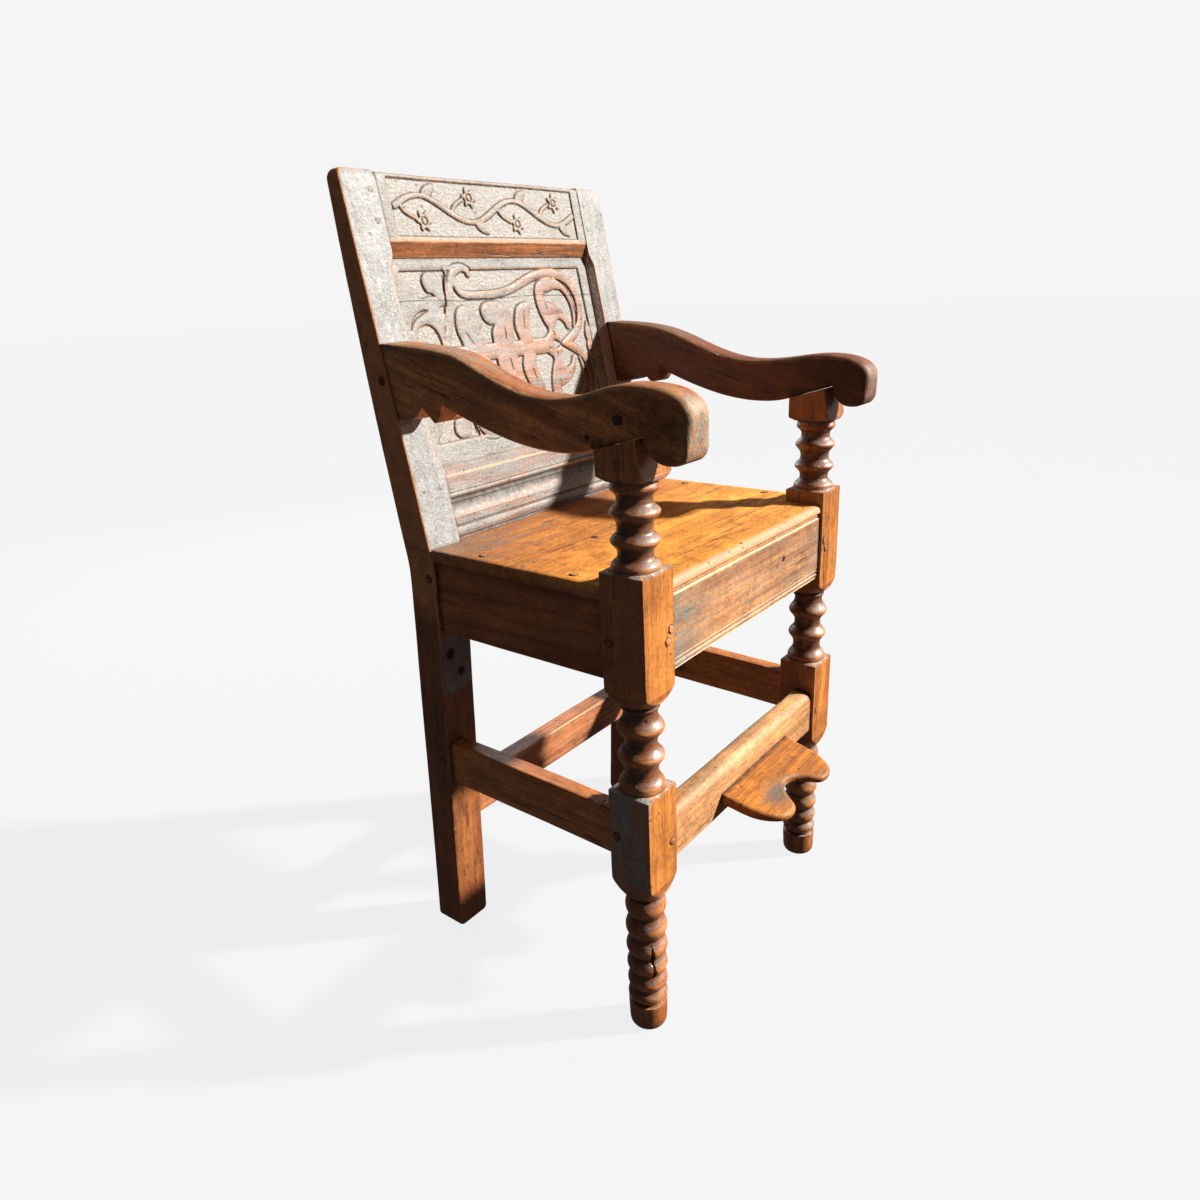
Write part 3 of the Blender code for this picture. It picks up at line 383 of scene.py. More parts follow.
# %% Setting out
FACE_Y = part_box("front_post_left")[0].y          # plane of the front posts' faces
FRONT_OUT, FRONT_IN = 0.232, 0.178
BACK_OUT, BACK_IN = 0.228, 0.178
POST_SIDE = 0.054
FRAME_DEPTH, KNEE, TOP = 0.302, 0.527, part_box("crest_rail")[1].z
RAKE_RUN, SPLAY = 0.0857, 0.0274
RAKE = math.atan2(RAKE_RUN, TOP - KNEE)
SEAT_TOP, SEAT_BOTTOM, ARM_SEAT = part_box("seat_board")[1].z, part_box("seat_board")[0].z, 0.706
FIT = 0.0003
HANDS = (("left", 1.0), ("right", -1.0))
KNEE_BEND = 0.0016


def stile_front(z):
    """Depth of the back posts' faces behind the front posts' faces: two lines, eased into each other at the knee."""
    leg = FRAME_DEPTH + SPLAY * (KNEE - z) / KNEE
    stile = FRAME_DEPTH + RAKE_RUN * (z - KNEE) / (TOP - KNEE)
    return np.logaddexp(leg / KNEE_BEND, stile / KNEE_BEND) * KNEE_BEND - KNEE_BEND / 2


def behind(x, depth, z):
    """Point at a depth behind the plane of the front posts' faces."""
    return np.stack(np.broadcast_arrays(x, FACE_Y + depth, z), axis=-1)


def on_back(x, depth, height):
    """Point of the raked back: depth behind the stiles' faces, height up the slope from the knee."""
    return behind(x, FRAME_DEPTH + depth * math.cos(RAKE) + height * math.sin(RAKE),
                  KNEE + height * math.cos(RAKE) - depth * math.sin(RAKE))


print("rake of the back:", round(math.degrees(RAKE), 2), "degrees; seat at", round(SEAT_TOP, 4))

# %% [markdown]
# ## Turned front posts
# A post is a square stick that was turned on a lathe between its blocks. Turning can only take wood away, so
# the radius in any direction is the smaller of two: that of the square, and that of the turner's profile at
# that height. A soft minimum of the two gives the curved shoulders of the blocks for nothing.

# %% The turner's curves
GROOVE, SHOULDER, PAST_SQUARE = 0.0186, 0.0405, 0.0420
FOOT_GROOVES = (0.0355, 0.0535, 0.0760, 0.1010, 0.1270, 0.1560, 0.1855)
FOOT_RINGS = (0.0234, 0.0236, 0.0240, 0.0243, 0.0242, 0.0238)
MIDDLE_STOPS = ((0.3250, 0.0262), (0.3300, 0.0256), (0.3470, 0.0186), (0.3645, 0.0256), (0.3800, 0.0178),
                (0.3980, 0.0259), (0.4165, 0.0186), (0.4225, 0.0212), (0.4255, 0.0200))
UPPER_STOPS = ((0.5727, 0.0262), (0.5765, 0.0254), (0.5885, 0.0182), (0.6020, 0.0253), (0.6150, 0.0182),
               (0.6305, 0.0254), (0.6430, 0.0182), (0.6545, 0.0247), (0.6615, 0.0232))


def swing(stops, sharp=1.6, step=0.0009):
    """Heights and radii through rings and coves: half a cosine between stops, raised to keep the rings narrow."""
    heights, radii = [], []
    for (z0, r0), (z1, r1) in zip(stops, stops[1:]):
        t = np.linspace(0.0, 1.0, max(3, round((z1 - z0) / step)), endpoint=False)
        share = (1 - np.cos(math.pi * t)) / 2
        rise = share ** sharp if r1 > r0 else 1 - (1 - share) ** sharp
        heights.append(z0 + (z1 - z0) * t)
        radii.append(r0 + (r1 - r0) * rise)
    return np.concatenate(heights), np.concatenate(radii)


def foot_rings():
    """Plain worn end, then rings between grooves: (1 + cos) / 2 across each, to a power that makes it fuller."""
    bend = np.linspace(0.0, math.pi / 2, 6)
    heights = [0.007 * (1 - np.cos(bend)), np.linspace(0.009, 0.034, 8)]
    radii = [0.0178 + 0.0044 * np.sin(bend), np.linspace(0.0224, 0.0231, 8)]
    s = np.linspace(-1.0, 1.0, 27)[:-1]
    for low, high, ring in zip(FOOT_GROOVES, FOOT_GROOVES[1:], FOOT_RINGS):
        heights.append(low + (high - low) * (s + 1) / 2)
        radii.append(GROOVE + (ring - GROOVE) * ((1 + np.cos(math.pi * s)) / 2) ** 0.55)
    return np.concatenate(heights), np.concatenate(radii)


def shoulder(low, high, neck):
    """The convex shoulder under a block, a quarter sine from the neck out past the corners of the square."""
    t = np.linspace(0.0, 1.0, 30)
    return low + (high - low) * t, neck + (SHOULDER - neck) * np.sin(t * math.pi / 2)


def straight(low, high, count):
    """A block: the profile stays outside the square, so the square is left as it is."""
    return np.linspace(low, high, count), np.full(count, PAST_SQUARE)


print("rings on a foot:", len(FOOT_RINGS), "stops above it:", len(MIDDLE_STOPS) + len(UPPER_STOPS))

# %% The turner's profile
def post_profile():
    """Heights, radii and how far each height is turned rather than square, from the floor to the arm."""
    parts = [foot_rings(), shoulder(0.1858, 0.2225, 0.0202), straight(0.2240, 0.3235, 24), swing(MIDDLE_STOPS),
             shoulder(0.4257, 0.4520, 0.0202), straight(0.4535, 0.5712, 26), swing(UPPER_STOPS),
             shoulder(0.6625, 0.6735, 0.0300), straight(0.6745, ARM_SEAT, 12)]
    heights, radii = (np.concatenate(column) for column in zip(*parts))
    return heights, radii, (radii < PAST_SQUARE).astype(float)


profile_z, profile_r, profile_turned = post_profile()
widest = profile_r[profile_turned > 0].max()
print("profile rows:", len(profile_z), "narrowest", profile_r.min(), "widest turning", widest)

# %% Front posts
SQUARE_POWER, BUNCHING, SOFTNESS, POST_COLUMNS = 34.0, 0.74, 0.00045, 152
ARM_BLOCK = 0.6634
# level, turn, width, height and depth of two splits, and the levels where grime and dust lie;
# the dust there also stands for a painted sky sheen
SPLITS = ((0.111, -2.24, 0.15, 0.015, 0.010), (0.0885, -2.16, 0.12, 0.010, 0.008))
LEDGES, DUST_AND_SHEEN_LEVELS = (0.3262, 0.5738, 0.4255, 0.1857, 0.6620), (0.3243, 0.5720)


def front_post(hand, side):
    """Radius is the soft minimum of profile(z) and half / (|cos|^p + |sin|^p)^(1/p), which is a rounded square;
    the angles are bunched at its corners."""
    even = np.linspace(0.0, 2 * math.pi, POST_COLUMNS, endpoint=False)
    angle = even + BUNCHING / 4 * np.sin(4 * even)
    c, s = np.cos(angle), np.sin(angle)
    square = POST_SIDE / 2 / (np.abs(c) ** SQUARE_POWER + np.abs(s) ** SQUARE_POWER) ** (1 / SQUARE_POWER)
    level, around, turned = profile_z[:, None], profile_r[:, None], profile_turned[:, None]
    radius = -SOFTNESS * np.logaddexp(-around / SOFTNESS, -square / SOFTNESS)
    for split, turn, width, height, deep in SPLITS if side < 0 else ():
        gap = np.abs((angle - turn - math.pi) % (2 * math.pi) - math.pi) / width
        rise = (level - split) / height
        radius = radius - deep * np.clip(1 - gap * np.maximum(1.3 + rise, 0.4) - rise ** 2, 0, 1) ** 0.5
    y = POST_SIDE / 2 + radius * s
    block = np.clip((level - ARM_BLOCK) / (ARM_SEAT - ARM_BLOCK), 0.0, 1.0)
    y = y + 0.006 * block * np.clip(1 - y / POST_SIDE, 0, 1)
    z = level - block * (0.015 * np.clip(y, 0, POST_SIDE) / POST_SIDE + FIT)
    points = behind(side * (FRONT_OUT - POST_SIDE / 2) + radius * c, y, z)
    # Painted shade: the coves are darkened, partly as dark old wax in them and partly as painted shade.
    hollow = np.clip((0.0241 - around) / 0.0045, 0, 1) * turned
    # Towards the front the crowns are paler, worn and painted light; towards the back the rings are darker, painted
    # shade.
    front_rubbed_and_lit = ease(-0.2, 0.6, -s)
    crown = np.clip((around - np.where(level < 0.19, 0.0212, 0.0228)) / 0.0025, 0, 1) * turned * (around < 0.030)
    # Painted highlight: pale dry streaks on the falling slopes of the rings, towards the front, stand for the glint
    # of the key light.
    falling_highlight = ease(0.15, 0.55, -np.gradient(profile_r, profile_z))[:, None] * (around > 0.0205) * (around < 0.030)
    ledge = sum(bell(level, place, 0.0022) for place in LEDGES)
    # Dust on the tops of the blocks, which also stands for a painted sky sheen.
    dust_and_sheen = sum(bell(level, place, 0.0010) for place in DUST_AND_SHEEN_LEVELS) * (radius > 0.0255)
    # Painted reflection: grey on the outer side of the near lower block stands for a sky reflection, laid on as dry
    # skin.
    grey_sky_sheen = 0.60 * (side < 0) * ease(0.55, 0.8, -c) * ease(0.198, 0.214, z) * (1 - ease(0.32, 0.33, z))
    return tube(f"front_post_{hand}", points, "warm_waxed_oak",
                worn=np.where(turned > 0, (0.15 + 0.50 * front_rubbed_and_lit) * crown, bell(np.abs(c), np.abs(s), 0.035)),
                grimy=0.66 * hollow + 0.20 * (1 - front_rubbed_and_lit) * turned + 0.8 * ledge * (1 - dust_and_sheen),
                dry=0.7 * dust_and_sheen + grey_sky_sheen + 0.44 * falling_highlight * turned * ease(0.2, 0.9, front_rubbed_and_lit),
                # On the blocks the sides get more wax tint than the fronts, darker and redder: partly wax, partly
                # painted shade.
                waxed=np.where(turned > 0, 0.68 * (around < 0.036), 0.52 * ease(-0.1, 0.1, np.abs(c) - np.abs(s))))


posts = [front_post(hand, side) for hand, side in HANDS]
print("front posts:", [len(p.data.polygons) for p in posts], "faces each")

# %% [markdown]
# ## Back posts
# Each back post is one bent timber: it leans back above the seat and thins towards its top. Its section is a
# rectangle with worn corners, carried up the post. Between the crest and the lower rail the inner front corner
# is planed off in a chamfer with curved stops, so a fifth side opens there and closes again.

# %% Back posts
END_ROUND, STILE_DEPTH, THINNING, CHAMFER = 0.009, 0.045, 0.024, 0.0075


def section(*corners):
    """Corners (rows, n, 2) of a section that changes along the piece: each corner has two arrays along it."""
    return np.stack([np.stack(np.broadcast_arrays(*corner), axis=-1) for corner in corners], axis=1)


def back_post(hand, side):
    """Section corners (x, y) at each height; the chamfer swells from nearly nothing between its two stops."""
    z = np.concatenate([[0.0, 0.0006, 0.0018, 0.0036, 0.0062], np.linspace(0.0095, 0.953, 190),
                        TOP - 0.012 + 0.0135 * np.sin(np.linspace(0.15, math.pi / 2, 9))])
    depth = STILE_DEPTH - THINNING * np.clip((z - KNEE) / (TOP - KNEE), 0, 1) ** 1.7
    chamfer = 0.0006 + CHAMFER * ease(0.640, 0.662, z) * (1 - ease(0.862, 0.882, z))
    end = np.sqrt(1 - np.clip((z - TOP + 0.011) / 0.0127, 0, 1) ** 2) * END_ROUND
    tuck = np.where(z > TOP - 0.011, END_ROUND - end, 0) + 0.0060 * np.clip(1 - z / 0.009, 0, 1) ** 2
    out, inn = BACK_OUT - 1.3 * np.minimum(tuck, 0.0088), BACK_IN + 0.25 * tuck
    fore, aft = stile_front(z) + 0.5 * tuck, stile_front(z) + depth - 0.5 * tuck
    corners = section((inn + chamfer, fore), (out, fore), (out, aft), (inn, aft), (inn, fore + chamfer))
    stop = np.clip(0.4 * chamfer, 0.0004, 0.0012)
    reach = np.stack(np.broadcast_arrays(stop, 0.0034, 0.0040, 0.0020, stop), axis=1)
    loop, edge = rounded_loop(corners, reach, arc=6, sides=[10, 8, 8, 8, 3])
    x, y, level = loop[..., 0], loop[..., 1], z[:, None]
    face = np.zeros(len(edge))                     # 1 on the front side, less on the chamfer
    face[3:19] = 1.0
    face[-12:] = 0.75
    face[16:19] = (0.8, 0.5, 0.2)
    patch = ease(0.358, 0.372, level) * (1 - ease(0.438, 0.450, level)) * (side < 0)
    # Painted light: the outer side of the upper post is lightened through the worn mark, as if lit from the side.
    outer = (x > out[:, None] - 0.0012) * ease(0.43, 0.50, level)
    return tube(f"back_post_{hand}", behind(x * side, y, level), "dark_waxed_oak",
                worn=edge * np.where(level > 0.5, 1.0, 0.6) + 0.45 * ease(TOP - 0.006, TOP, level) + 0.80 * outer,
                # Painted shadow: the post is darker at its foot, through grime near the floor and more wax below
                # about 9 cm.
                grimy=0.5 * bell(level, 0.553, 0.004) + 0.25 * bell(level, 0.0, 0.03),
                dry=np.maximum(ease(0.530, 0.545, level), patch) * face,
                waxed=(0.65 - 0.30 * ease(0.07, 0.11, level)) * (1 - ease(0.340, 0.372, level)))


stiles = [back_post(hand, side) for hand, side in HANDS]
print("back posts:", [len(p.data.polygons) for p in stiles], "faces each")

# %% [markdown]
# ## Rails and stretchers
# A rail is one section carried along a straight line. The seat rails have thin beads run along their edges with a
# scratch stock, which here are a depth added to the points of the front side. Near both ends dirt has collected
# against the posts.

# %% Rail sections
CUT_GRIME = 260.0                                  # grime for each metre of depth
RAIL_TOP = SEAT_BOTTOM - FIT
RAIL_BOTTOM = RAIL_TOP - 0.0845
CROSS_ROWS = 72


def bead(level, centre, width, quirk):
    """Depth of a run bead: a shallow round between two narrow grooves."""
    s = np.abs(level - centre) / width
    return quirk * (bell(s, 0.5, 0.14) + 0.25 * np.clip(2 * s, 0, 1) ** 2 * (s < 0.5))


def rail_section(thickness, bottom, top, reach, depth, arc, sides):
    """Points of a section: how far behind the face, how high, edge mark, and how deep the face is cut there."""
    corners = [(0.0, bottom), (0.0, top), (thickness, top), (thickness, bottom)]
    loop, edge = rounded_loop(corners, reach, arc, sides)
    back, z = loop.T
    cut = np.where(back < 0.6 * max(reach[:2]), depth(z), 0.0)
    return np.maximum(back, 0.0) + cut, z, edge, cut


def cross_rail(name, slot, ends, face, thickness, bottom, top, reach, depth=np.zeros_like, scuffs=0.0, **marks):
    """A rail from side to side; depth(z) is cut into its front, and reach rounds its four corners."""
    back, z, edge, cut = rail_section(thickness, bottom, top, reach, depth, 7, [64, 8, 8, 8])
    x = np.linspace(-ends, ends, CROSS_ROWS)[:, None]
    points = behind(x, face + back, z)
    plain = {"worn": np.maximum(edge, scuffs), "grimy": 0.8 * bell(np.abs(x), ends, 0.006) + CUT_GRIME * cut,
             "dry": 0.0, "waxed": 0.0}
    return tube(name, points, slot, **(plain | {mark: values(points) for mark, values in marks.items()}))


print("depth of the grooves beside a bead of 1 mm:", bead(np.array([0.5]), 0.0, 1.0, 0.001))

# %% Rails from side to side
RAIL_THICK, STRETCHER_THICK, SET_BACK = 0.024, 0.028, 0.004
FRONT_LEVELS, BACK_LEVELS = (0.2236, 0.2846), (0.163, 0.214)     # bottom and top of the stretchers


def front_beads(z):
    """Two beads run along the lower edge of the front rail."""
    return bead(z, RAIL_BOTTOM + 0.0046, 0.0064, 0.0016) + 0.8 * bead(z, RAIL_BOTTOM + 0.0105, 0.004, 0.0011)


def worn_grey(points):
    """The front rail is partly bare, and more so at its two ends."""
    x = points[..., 0]
    return 0.40 * np.maximum(bell(x, -0.165, 0.045), 0.3 * bell(x, 0.160, 0.030)) + 0.27


front_rail = cross_rail(
    "front_seat_rail", "warm_waxed_oak", FRONT_IN - FIT, SET_BACK, RAIL_THICK, RAIL_BOTTOM, RAIL_TOP,
    (0.0016, 0.0034, 0.001, 0.001), front_beads, scuffs=0.24, dry=worn_grey)
back_rail = cross_rail(
    "back_seat_rail", "dark_waxed_oak", BACK_IN - FIT, stile_front(RAIL_BOTTOM) + SET_BACK, RAIL_THICK,
    RAIL_BOTTOM, RAIL_TOP, (0.0016, 0.0016, 0.0016, 0.0016))
front_stretcher = cross_rail(
    "front_stretcher", "warm_waxed_oak", FRONT_IN - FIT, SET_BACK, STRETCHER_THICK, *FRONT_LEVELS,
    (0.003, 0.0165, 0.009, 0.003),
    worn=lambda p: 0.36 * ease(0.268, 0.278, p[..., 2]), dry=lambda p: 0.34 * ease(0.266, 0.278, p[..., 2]))
back_stretcher = cross_rail(
    "back_stretcher", "warm_waxed_oak", BACK_IN - FIT, stile_front(BACK_LEVELS[0]) + SET_BACK, STRETCHER_THICK,
    *BACK_LEVELS, (0.0022, 0.0026, 0.0022, 0.0022))
print("from side to side:", [p.name for p in (front_rail, back_rail, front_stretcher, back_stretcher)])

# %% Side rails and side stretchers
SIDE_FACE, SIDE_START, SIDE_ROWS = 0.224, POST_SIDE + FIT, 56
SIDE_BOTTOM, SIDE_BEAD = RAIL_TOP - 0.0885, RAIL_TOP - 0.0815
TIE_BOTTOM, TIE_TOP, TIE_THICK, TIE_SAG = 0.2396, 0.2976, 0.022, 0.004


def side_rail(name, hand, side, top, bottom, thickness, reach, depth=np.zeros_like, sag=0.0):
    """A rail from front to back, its rear end cut to the slope of the back post; sag lowers its front end."""
    back, z, edge, cut = rail_section(thickness, bottom, top, reach, depth, 6, [48, 6, 6, 6])
    share = np.linspace(0.0, 1.0, SIDE_ROWS)[:, None]
    y = SIDE_START + share * (stile_front(z) - FIT - SIDE_START)
    near = bell(np.minimum(share, 1 - share), 0.0, 0.025)
    # The tops are darker, partly wax and grime and partly painted shade.
    crown = ease(top - 0.003, top - 0.001, z)
    return tube(f"{name}_{hand}", behind(side * (SIDE_FACE - back), y, z - sag * (1 - share)), "dark_waxed_oak",
                worn=0.6 * edge, grimy=np.maximum(0.8 * near + CUT_GRIME * cut, 0.15 * crown), dry=0.0,
                waxed=0.50 * crown)


side_rails = [side_rail("side_seat_rail", hand, side, RAIL_TOP, SIDE_BOTTOM, RAIL_THICK,
                        (0.002, 0.0016, 0.001, 0.001), lambda z: bead(z, SIDE_BEAD, 0.007, 0.0011))
              for hand, side in HANDS]
side_stretchers = [side_rail("side_stretcher", hand, side, TIE_TOP, TIE_BOTTOM, TIE_THICK,
                             (0.0022, 0.0034, 0.003, 0.002), sag=TIE_SAG) for hand, side in HANDS]
print("side members:", [p.name for p in side_rails + side_stretchers])

# %% [markdown]
# ## Seat
# One wide board with its grain from side to side, notched round the four posts. It is again a section carried
# from side to side: at each notch two sections stand at the same place, one short and one long, and the ring of
# faces between them is the wall of the notch. The front edge is run with a thumb moulding.

# %% Seat board
EASED, SEAT_OVER, THUMB_ROUND, PLAIN_ROUND = 0.0022, 0.003, 0.0085, 0.0012


def mirrored(half, middle, sign=1.0):
    """Values for both halves of the board, from those of one half and of the middle."""
    return np.concatenate([sign * half[::-1], [middle], half])


def seat_board():
    """Sections (y, z) at each x: the front line steps at the posts, and the outer ends are eased over."""
    over = EASED * np.sin(np.linspace(0.0, math.pi / 2, 5))
    wing = np.linspace(FRONT_IN, FRONT_OUT - SEAT_OVER, 7)[:-1]
    between = np.linspace(0.0, FRONT_IN - FIT, 40)[1:]
    x = mirrored(np.concatenate([between, wing, FRONT_OUT - SEAT_OVER - EASED + over]), 0.0, -1.0)
    shrink = mirrored(np.concatenate([np.zeros(len(between) + len(wing)), over]), 0.0)
    narrow = mirrored(np.repeat([1.0, 0.0], [len(between), len(wing) + len(over)]), 1.0)
    front = np.where(narrow > 0, 0.003, POST_SIDE + FIT) + shrink
    rear = np.where(narrow > 0, stile_front(SEAT_TOP) + 0.024, stile_front(SEAT_BOTTOM) - FIT) - shrink
    low, high = SEAT_BOTTOM + shrink, SEAT_TOP - shrink
    thumb = np.where(narrow > 0, THUMB_ROUND, PLAIN_ROUND)
    loop, edge = rounded_loop(section((front, low), (front, high), (rear, high), (rear, low)),
                              np.stack(np.broadcast_arrays(0.0010, thumb, 0.0010, 0.0010), axis=1),
                              arc=9, sides=[12, 60, 3, 12])
    x, narrow, y, z = x[:, None], narrow[:, None], loop[..., 0], loop[..., 1]
    quirk = 0.0030 * (1 - ease(0.0030, 0.0062, z - SEAT_BOTTOM)) * (y < 0.0075) * narrow
    thumb_edge = narrow * (1 - ease(0.006, 0.013, y))
    # Towards the rear left the top is greyer and darker, through the dry and wax marks.
    corner = 0.60 * bell(x, -0.20, 0.11) * bell(y, 0.30, 0.12) + 0.27 * ease(0.20, 0.32, y)
    top = ease(SEAT_TOP - 0.004, SEAT_TOP - 0.0012, z)
    return tube("seat_board", behind(x, y + quirk, z), "warm_waxed_oak",
                worn=edge * (0.35 + 0.65 * (y < 0.05)) + 0.5 * bell(np.abs(x), 0.229, 0.003) + 0.62 * thumb_edge,
                grimy=0.55 * ease(0.24, 0.31, y) * ease(0.30, 0.325, y) + 120 * quirk,
                dry=np.maximum(corner * top, 0.46 * thumb_edge),
                # Below the top, the edges and underside behind the thumb are darker: partly wax, partly painted
                # shade.
                waxed=np.maximum(0.80 * ease(0.08, 0.27, y - 0.25 * x), 0.9 * (1 - top) * (y > 0.02)))


seat = seat_board()
print("seat board:", len(seat.data.polygons), "faces")

# %% [markdown]
# ## Plates with eased edges
# The arms and the footrest are sawn to a curved outline, and their edges are worn round. Such a plate is two lids
# and a band between them. The outline is given as two chains of points that run side by side, and rungs between
# them fill the lids. Towards a lid the band bends in by a quarter circle whose radius may change along the outline.

# %% Curves
def bezier(start, pull, push, end, count):
    """Points of a cubic curve without its end: weights (1-t)^3, 3t(1-t)^2, 3t^2(1-t) and t^3."""
    t = np.linspace(0.0, 1.0, count, endpoint=False)[:, None]
    a, b, c, d = (np.array(p, float) for p in (start, pull, push, end))
    return (1 - t) ** 3 * a + 3 * t * (1 - t) ** 2 * b + 3 * t * t * (1 - t) * c + t ** 3 * d


def spaced(count, *parts):
    """One chain of all the parts, with points at even distances along it."""
    chain = np.concatenate(parts)
    along = np.concatenate([[0.0], np.cumsum(np.linalg.norm(np.diff(chain, axis=0), axis=1))])
    even = np.linspace(0.0, along[-1], count)
    return np.stack([np.interp(even, along, chain[:, k]) for k in (0, 1)], axis=1)


print("start and middle of a trial curve:", bezier((0, 0), (0, 1), (1, 1), (1, 0), 2).tolist())

# %% The plate function
RUNGS, BENDS = 14, 6


def plate(first, second, radius_first, radius_second, half):
    """Points (u, v, level), faces and an edge mark of a plate between two chains, from -half to half in level."""
    count = len(first)
    loop = np.concatenate([first, second[::-1]])
    radius = np.concatenate([radius_first, radius_second[::-1]])[:, None]
    after = np.roll(loop, -1, axis=0)
    way = after - np.roll(loop, 1, axis=0)
    turning = np.sign(np.sum(loop[:, 0] * after[:, 1] - loop[:, 1] * after[:, 0]))
    inward = np.stack([-way[:, 1], way[:, 0]], axis=1) / np.linalg.norm(way, axis=1, keepdims=True) * turning
    inner = loop + inward * radius
    s = np.arange(1, RUNGS + 1)[:, None] / (RUNGS + 1)

    def ring_of(points):
        """The two chains with a rung at each end, as one ring."""
        a, b = points[:count], points[count:][::-1]
        far, near = a[-1] * (1 - s) + b[-1] * s, b[0] * (1 - s) + a[0] * s
        return np.concatenate([a, far, b[::-1], near])

    rim, lid_rim, bend = ring_of(loop), ring_of(inner), ring_of(radius)[:, 0]
    turn = np.linspace(0.0, math.pi / 2, BENDS)
    shares = np.concatenate([1 - np.cos(turn[::-1]), np.zeros(3), 1 - np.cos(turn)])
    lifts = np.concatenate([-np.sin(turn[::-1]), np.zeros(3), np.sin(turn)])
    sign = np.concatenate([-np.ones(BENDS), [-0.5, 0.0, 0.5], np.ones(BENDS)])
    level = (half - bend) * sign[:, None] + bend * lifts[:, None]
    skirt = np.concatenate([rim + (lid_rim - rim) * shares[:, None, None], level[..., None]], axis=-1)
    rows, columns = skirt.shape[:2]
    middle = (inner[:count, None] * (1 - s) + inner[count:][::-1, None] * s)[1:-1].reshape(-1, 2)
    points, quads = [skirt.reshape(-1, 3)], [round_faces(rows, columns)]
    for row, height, way_round in ((0, -half, 1), (rows - 1, half, -1)):
        ring = row * columns + np.arange(columns)
        ids = np.zeros((count, RUNGS + 2), int)
        ids[:, 0], ids[-1, 1:-1] = ring[:count], ring[count:count + RUNGS]
        ids[:, -1], ids[0, 1:-1] = ring[count + RUNGS:2 * count + RUNGS][::-1], ring[2 * count + RUNGS:][::-1]
        ids[1:-1, 1:-1] = sum(map(len, points)) + np.arange(len(middle)).reshape(count - 2, RUNGS)
        points.append(np.concatenate([middle, np.full((len(middle), 1), height)], axis=1))
        quads.append(faces_of(ids)[:, ::way_round])
    edge = np.concatenate([np.repeat(np.sin(math.pi * shares ** 0.6), columns), np.zeros(2 * len(middle))])
    return np.concatenate(points), np.concatenate(quads), edge


print("rungs across a lid:", RUNGS, "steps round an edge:", BENDS)

# %% [markdown]
# ## Arms
# Seen from the side, an arm leaves the back post level, falls in a long hollow and rises over a rolled nose. Below,
# its belly ends in a bracket of two cusps at the back. The top edges are worn round by hands and the cusps are still
# quite crisp, so the radius changes along the outline.

# %% Outline of an arm
ARM_RISE, HOLLOW_RISE, SOLE_DROP, CUSP_DROP, CUSP_RISE = 0.080, 0.0303, 0.0248, 0.003, 0.018
CROWN_RISE, NOSE_REACH = 0.0463, 0.050
STRETCH = 44                                       # points on each of the four stretches of a chain


def arm_chains(wear):
    """Top and bottom of an arm, from back post to nose: chains of (y, z) along cubic curves between named points."""
    base, front = ARM_SEAT, POST_SIDE
    crown_z, sole_z, reach = base + CROWN_RISE - wear, base - SOLE_DROP, NOSE_REACH - 0.6 * wear
    span, tall = stile_front(base + ARM_RISE / 2) - front, crown_z - sole_z

    def at(share, lift):
        return front + share * span, base + lift

    def stretch(*parts):
        return spaced(STRETCH, *parts)[:-1]

    back_top = (stile_front(base + ARM_RISE) - FIT, base + ARM_RISE)
    shoulder, hollow = at(0.64, 0.87 * ARM_RISE - 0.5 * wear), at(0.19, HOLLOW_RISE)
    crown, brow = (0.24 * reach, crown_z), (-reach, crown_z - 0.40 * tall)
    over_nose = (-0.98 * reach, crown_z - 0.06 * tall - 0.5 * wear)
    top = [stretch(bezier(back_top, at(0.9, ARM_RISE), at(0.74, 0.95 * ARM_RISE), shoulder, 30), [shoulder]),
           stretch(bezier(shoulder, at(0.53, 0.76 * ARM_RISE - 0.5 * wear), at(0.38, HOLLOW_RISE), hollow, 40),
                   [hollow]),
           stretch(bezier(hollow, at(0.04, HOLLOW_RISE), (reach, crown_z), crown, 40), [crown]),
           stretch(bezier(crown, (-0.4 * reach, crown_z), over_nose, brow, 40), [brow]), [brow]]

    heel_end = (stile_front(base - CUSP_DROP) - FIT, base - CUSP_DROP)
    cusp, tooth = at(0.71, CUSP_RISE), at(0.762, -CUSP_DROP)
    notch, heel = at(0.822, 0.75 * CUSP_RISE), at(0.925, -CUSP_DROP)
    seat_back, seat_front = (front, base - 0.015), (0.0, base)
    chin, sole = (-0.95 * reach, sole_z + 0.21 * tall), (-0.52 * reach, sole_z)
    belly = bezier(cusp, at(0.40, -0.024), at(0.13, -0.030), seat_back, 80)
    bottom = [stretch([heel_end, heel], bezier(heel, at(0.877, -CUSP_DROP), at(0.847, 0.22 * CUSP_RISE), notch, 14),
                      bezier(notch, at(0.802, 0.45 * CUSP_RISE), at(0.787, 0.22 * CUSP_RISE), tooth, 14),
                      bezier(tooth, at(0.737, -CUSP_DROP), at(0.722, 0.45 * CUSP_RISE), cusp, 14), [cusp]),
              stretch(belly[:56]), stretch(belly[55:], [seat_back, seat_front]),
              spaced(STRETCH,
                     bezier(seat_front, (-0.03 * reach, base - 0.48 * SOLE_DROP), (-0.16 * reach, sole_z), sole, 30),
                     bezier(sole, (-0.76 * reach, sole_z), (-0.90 * reach, sole_z + 0.04 * tall), chin, 24), [chin])]
    return np.concatenate(top), np.concatenate(bottom)


print("points along an arm, above and below:", [len(chain) for chain in arm_chains(0.0)])

# %% Arms
ARM_HALF, NOSE_WEAR = 0.020, 0.008


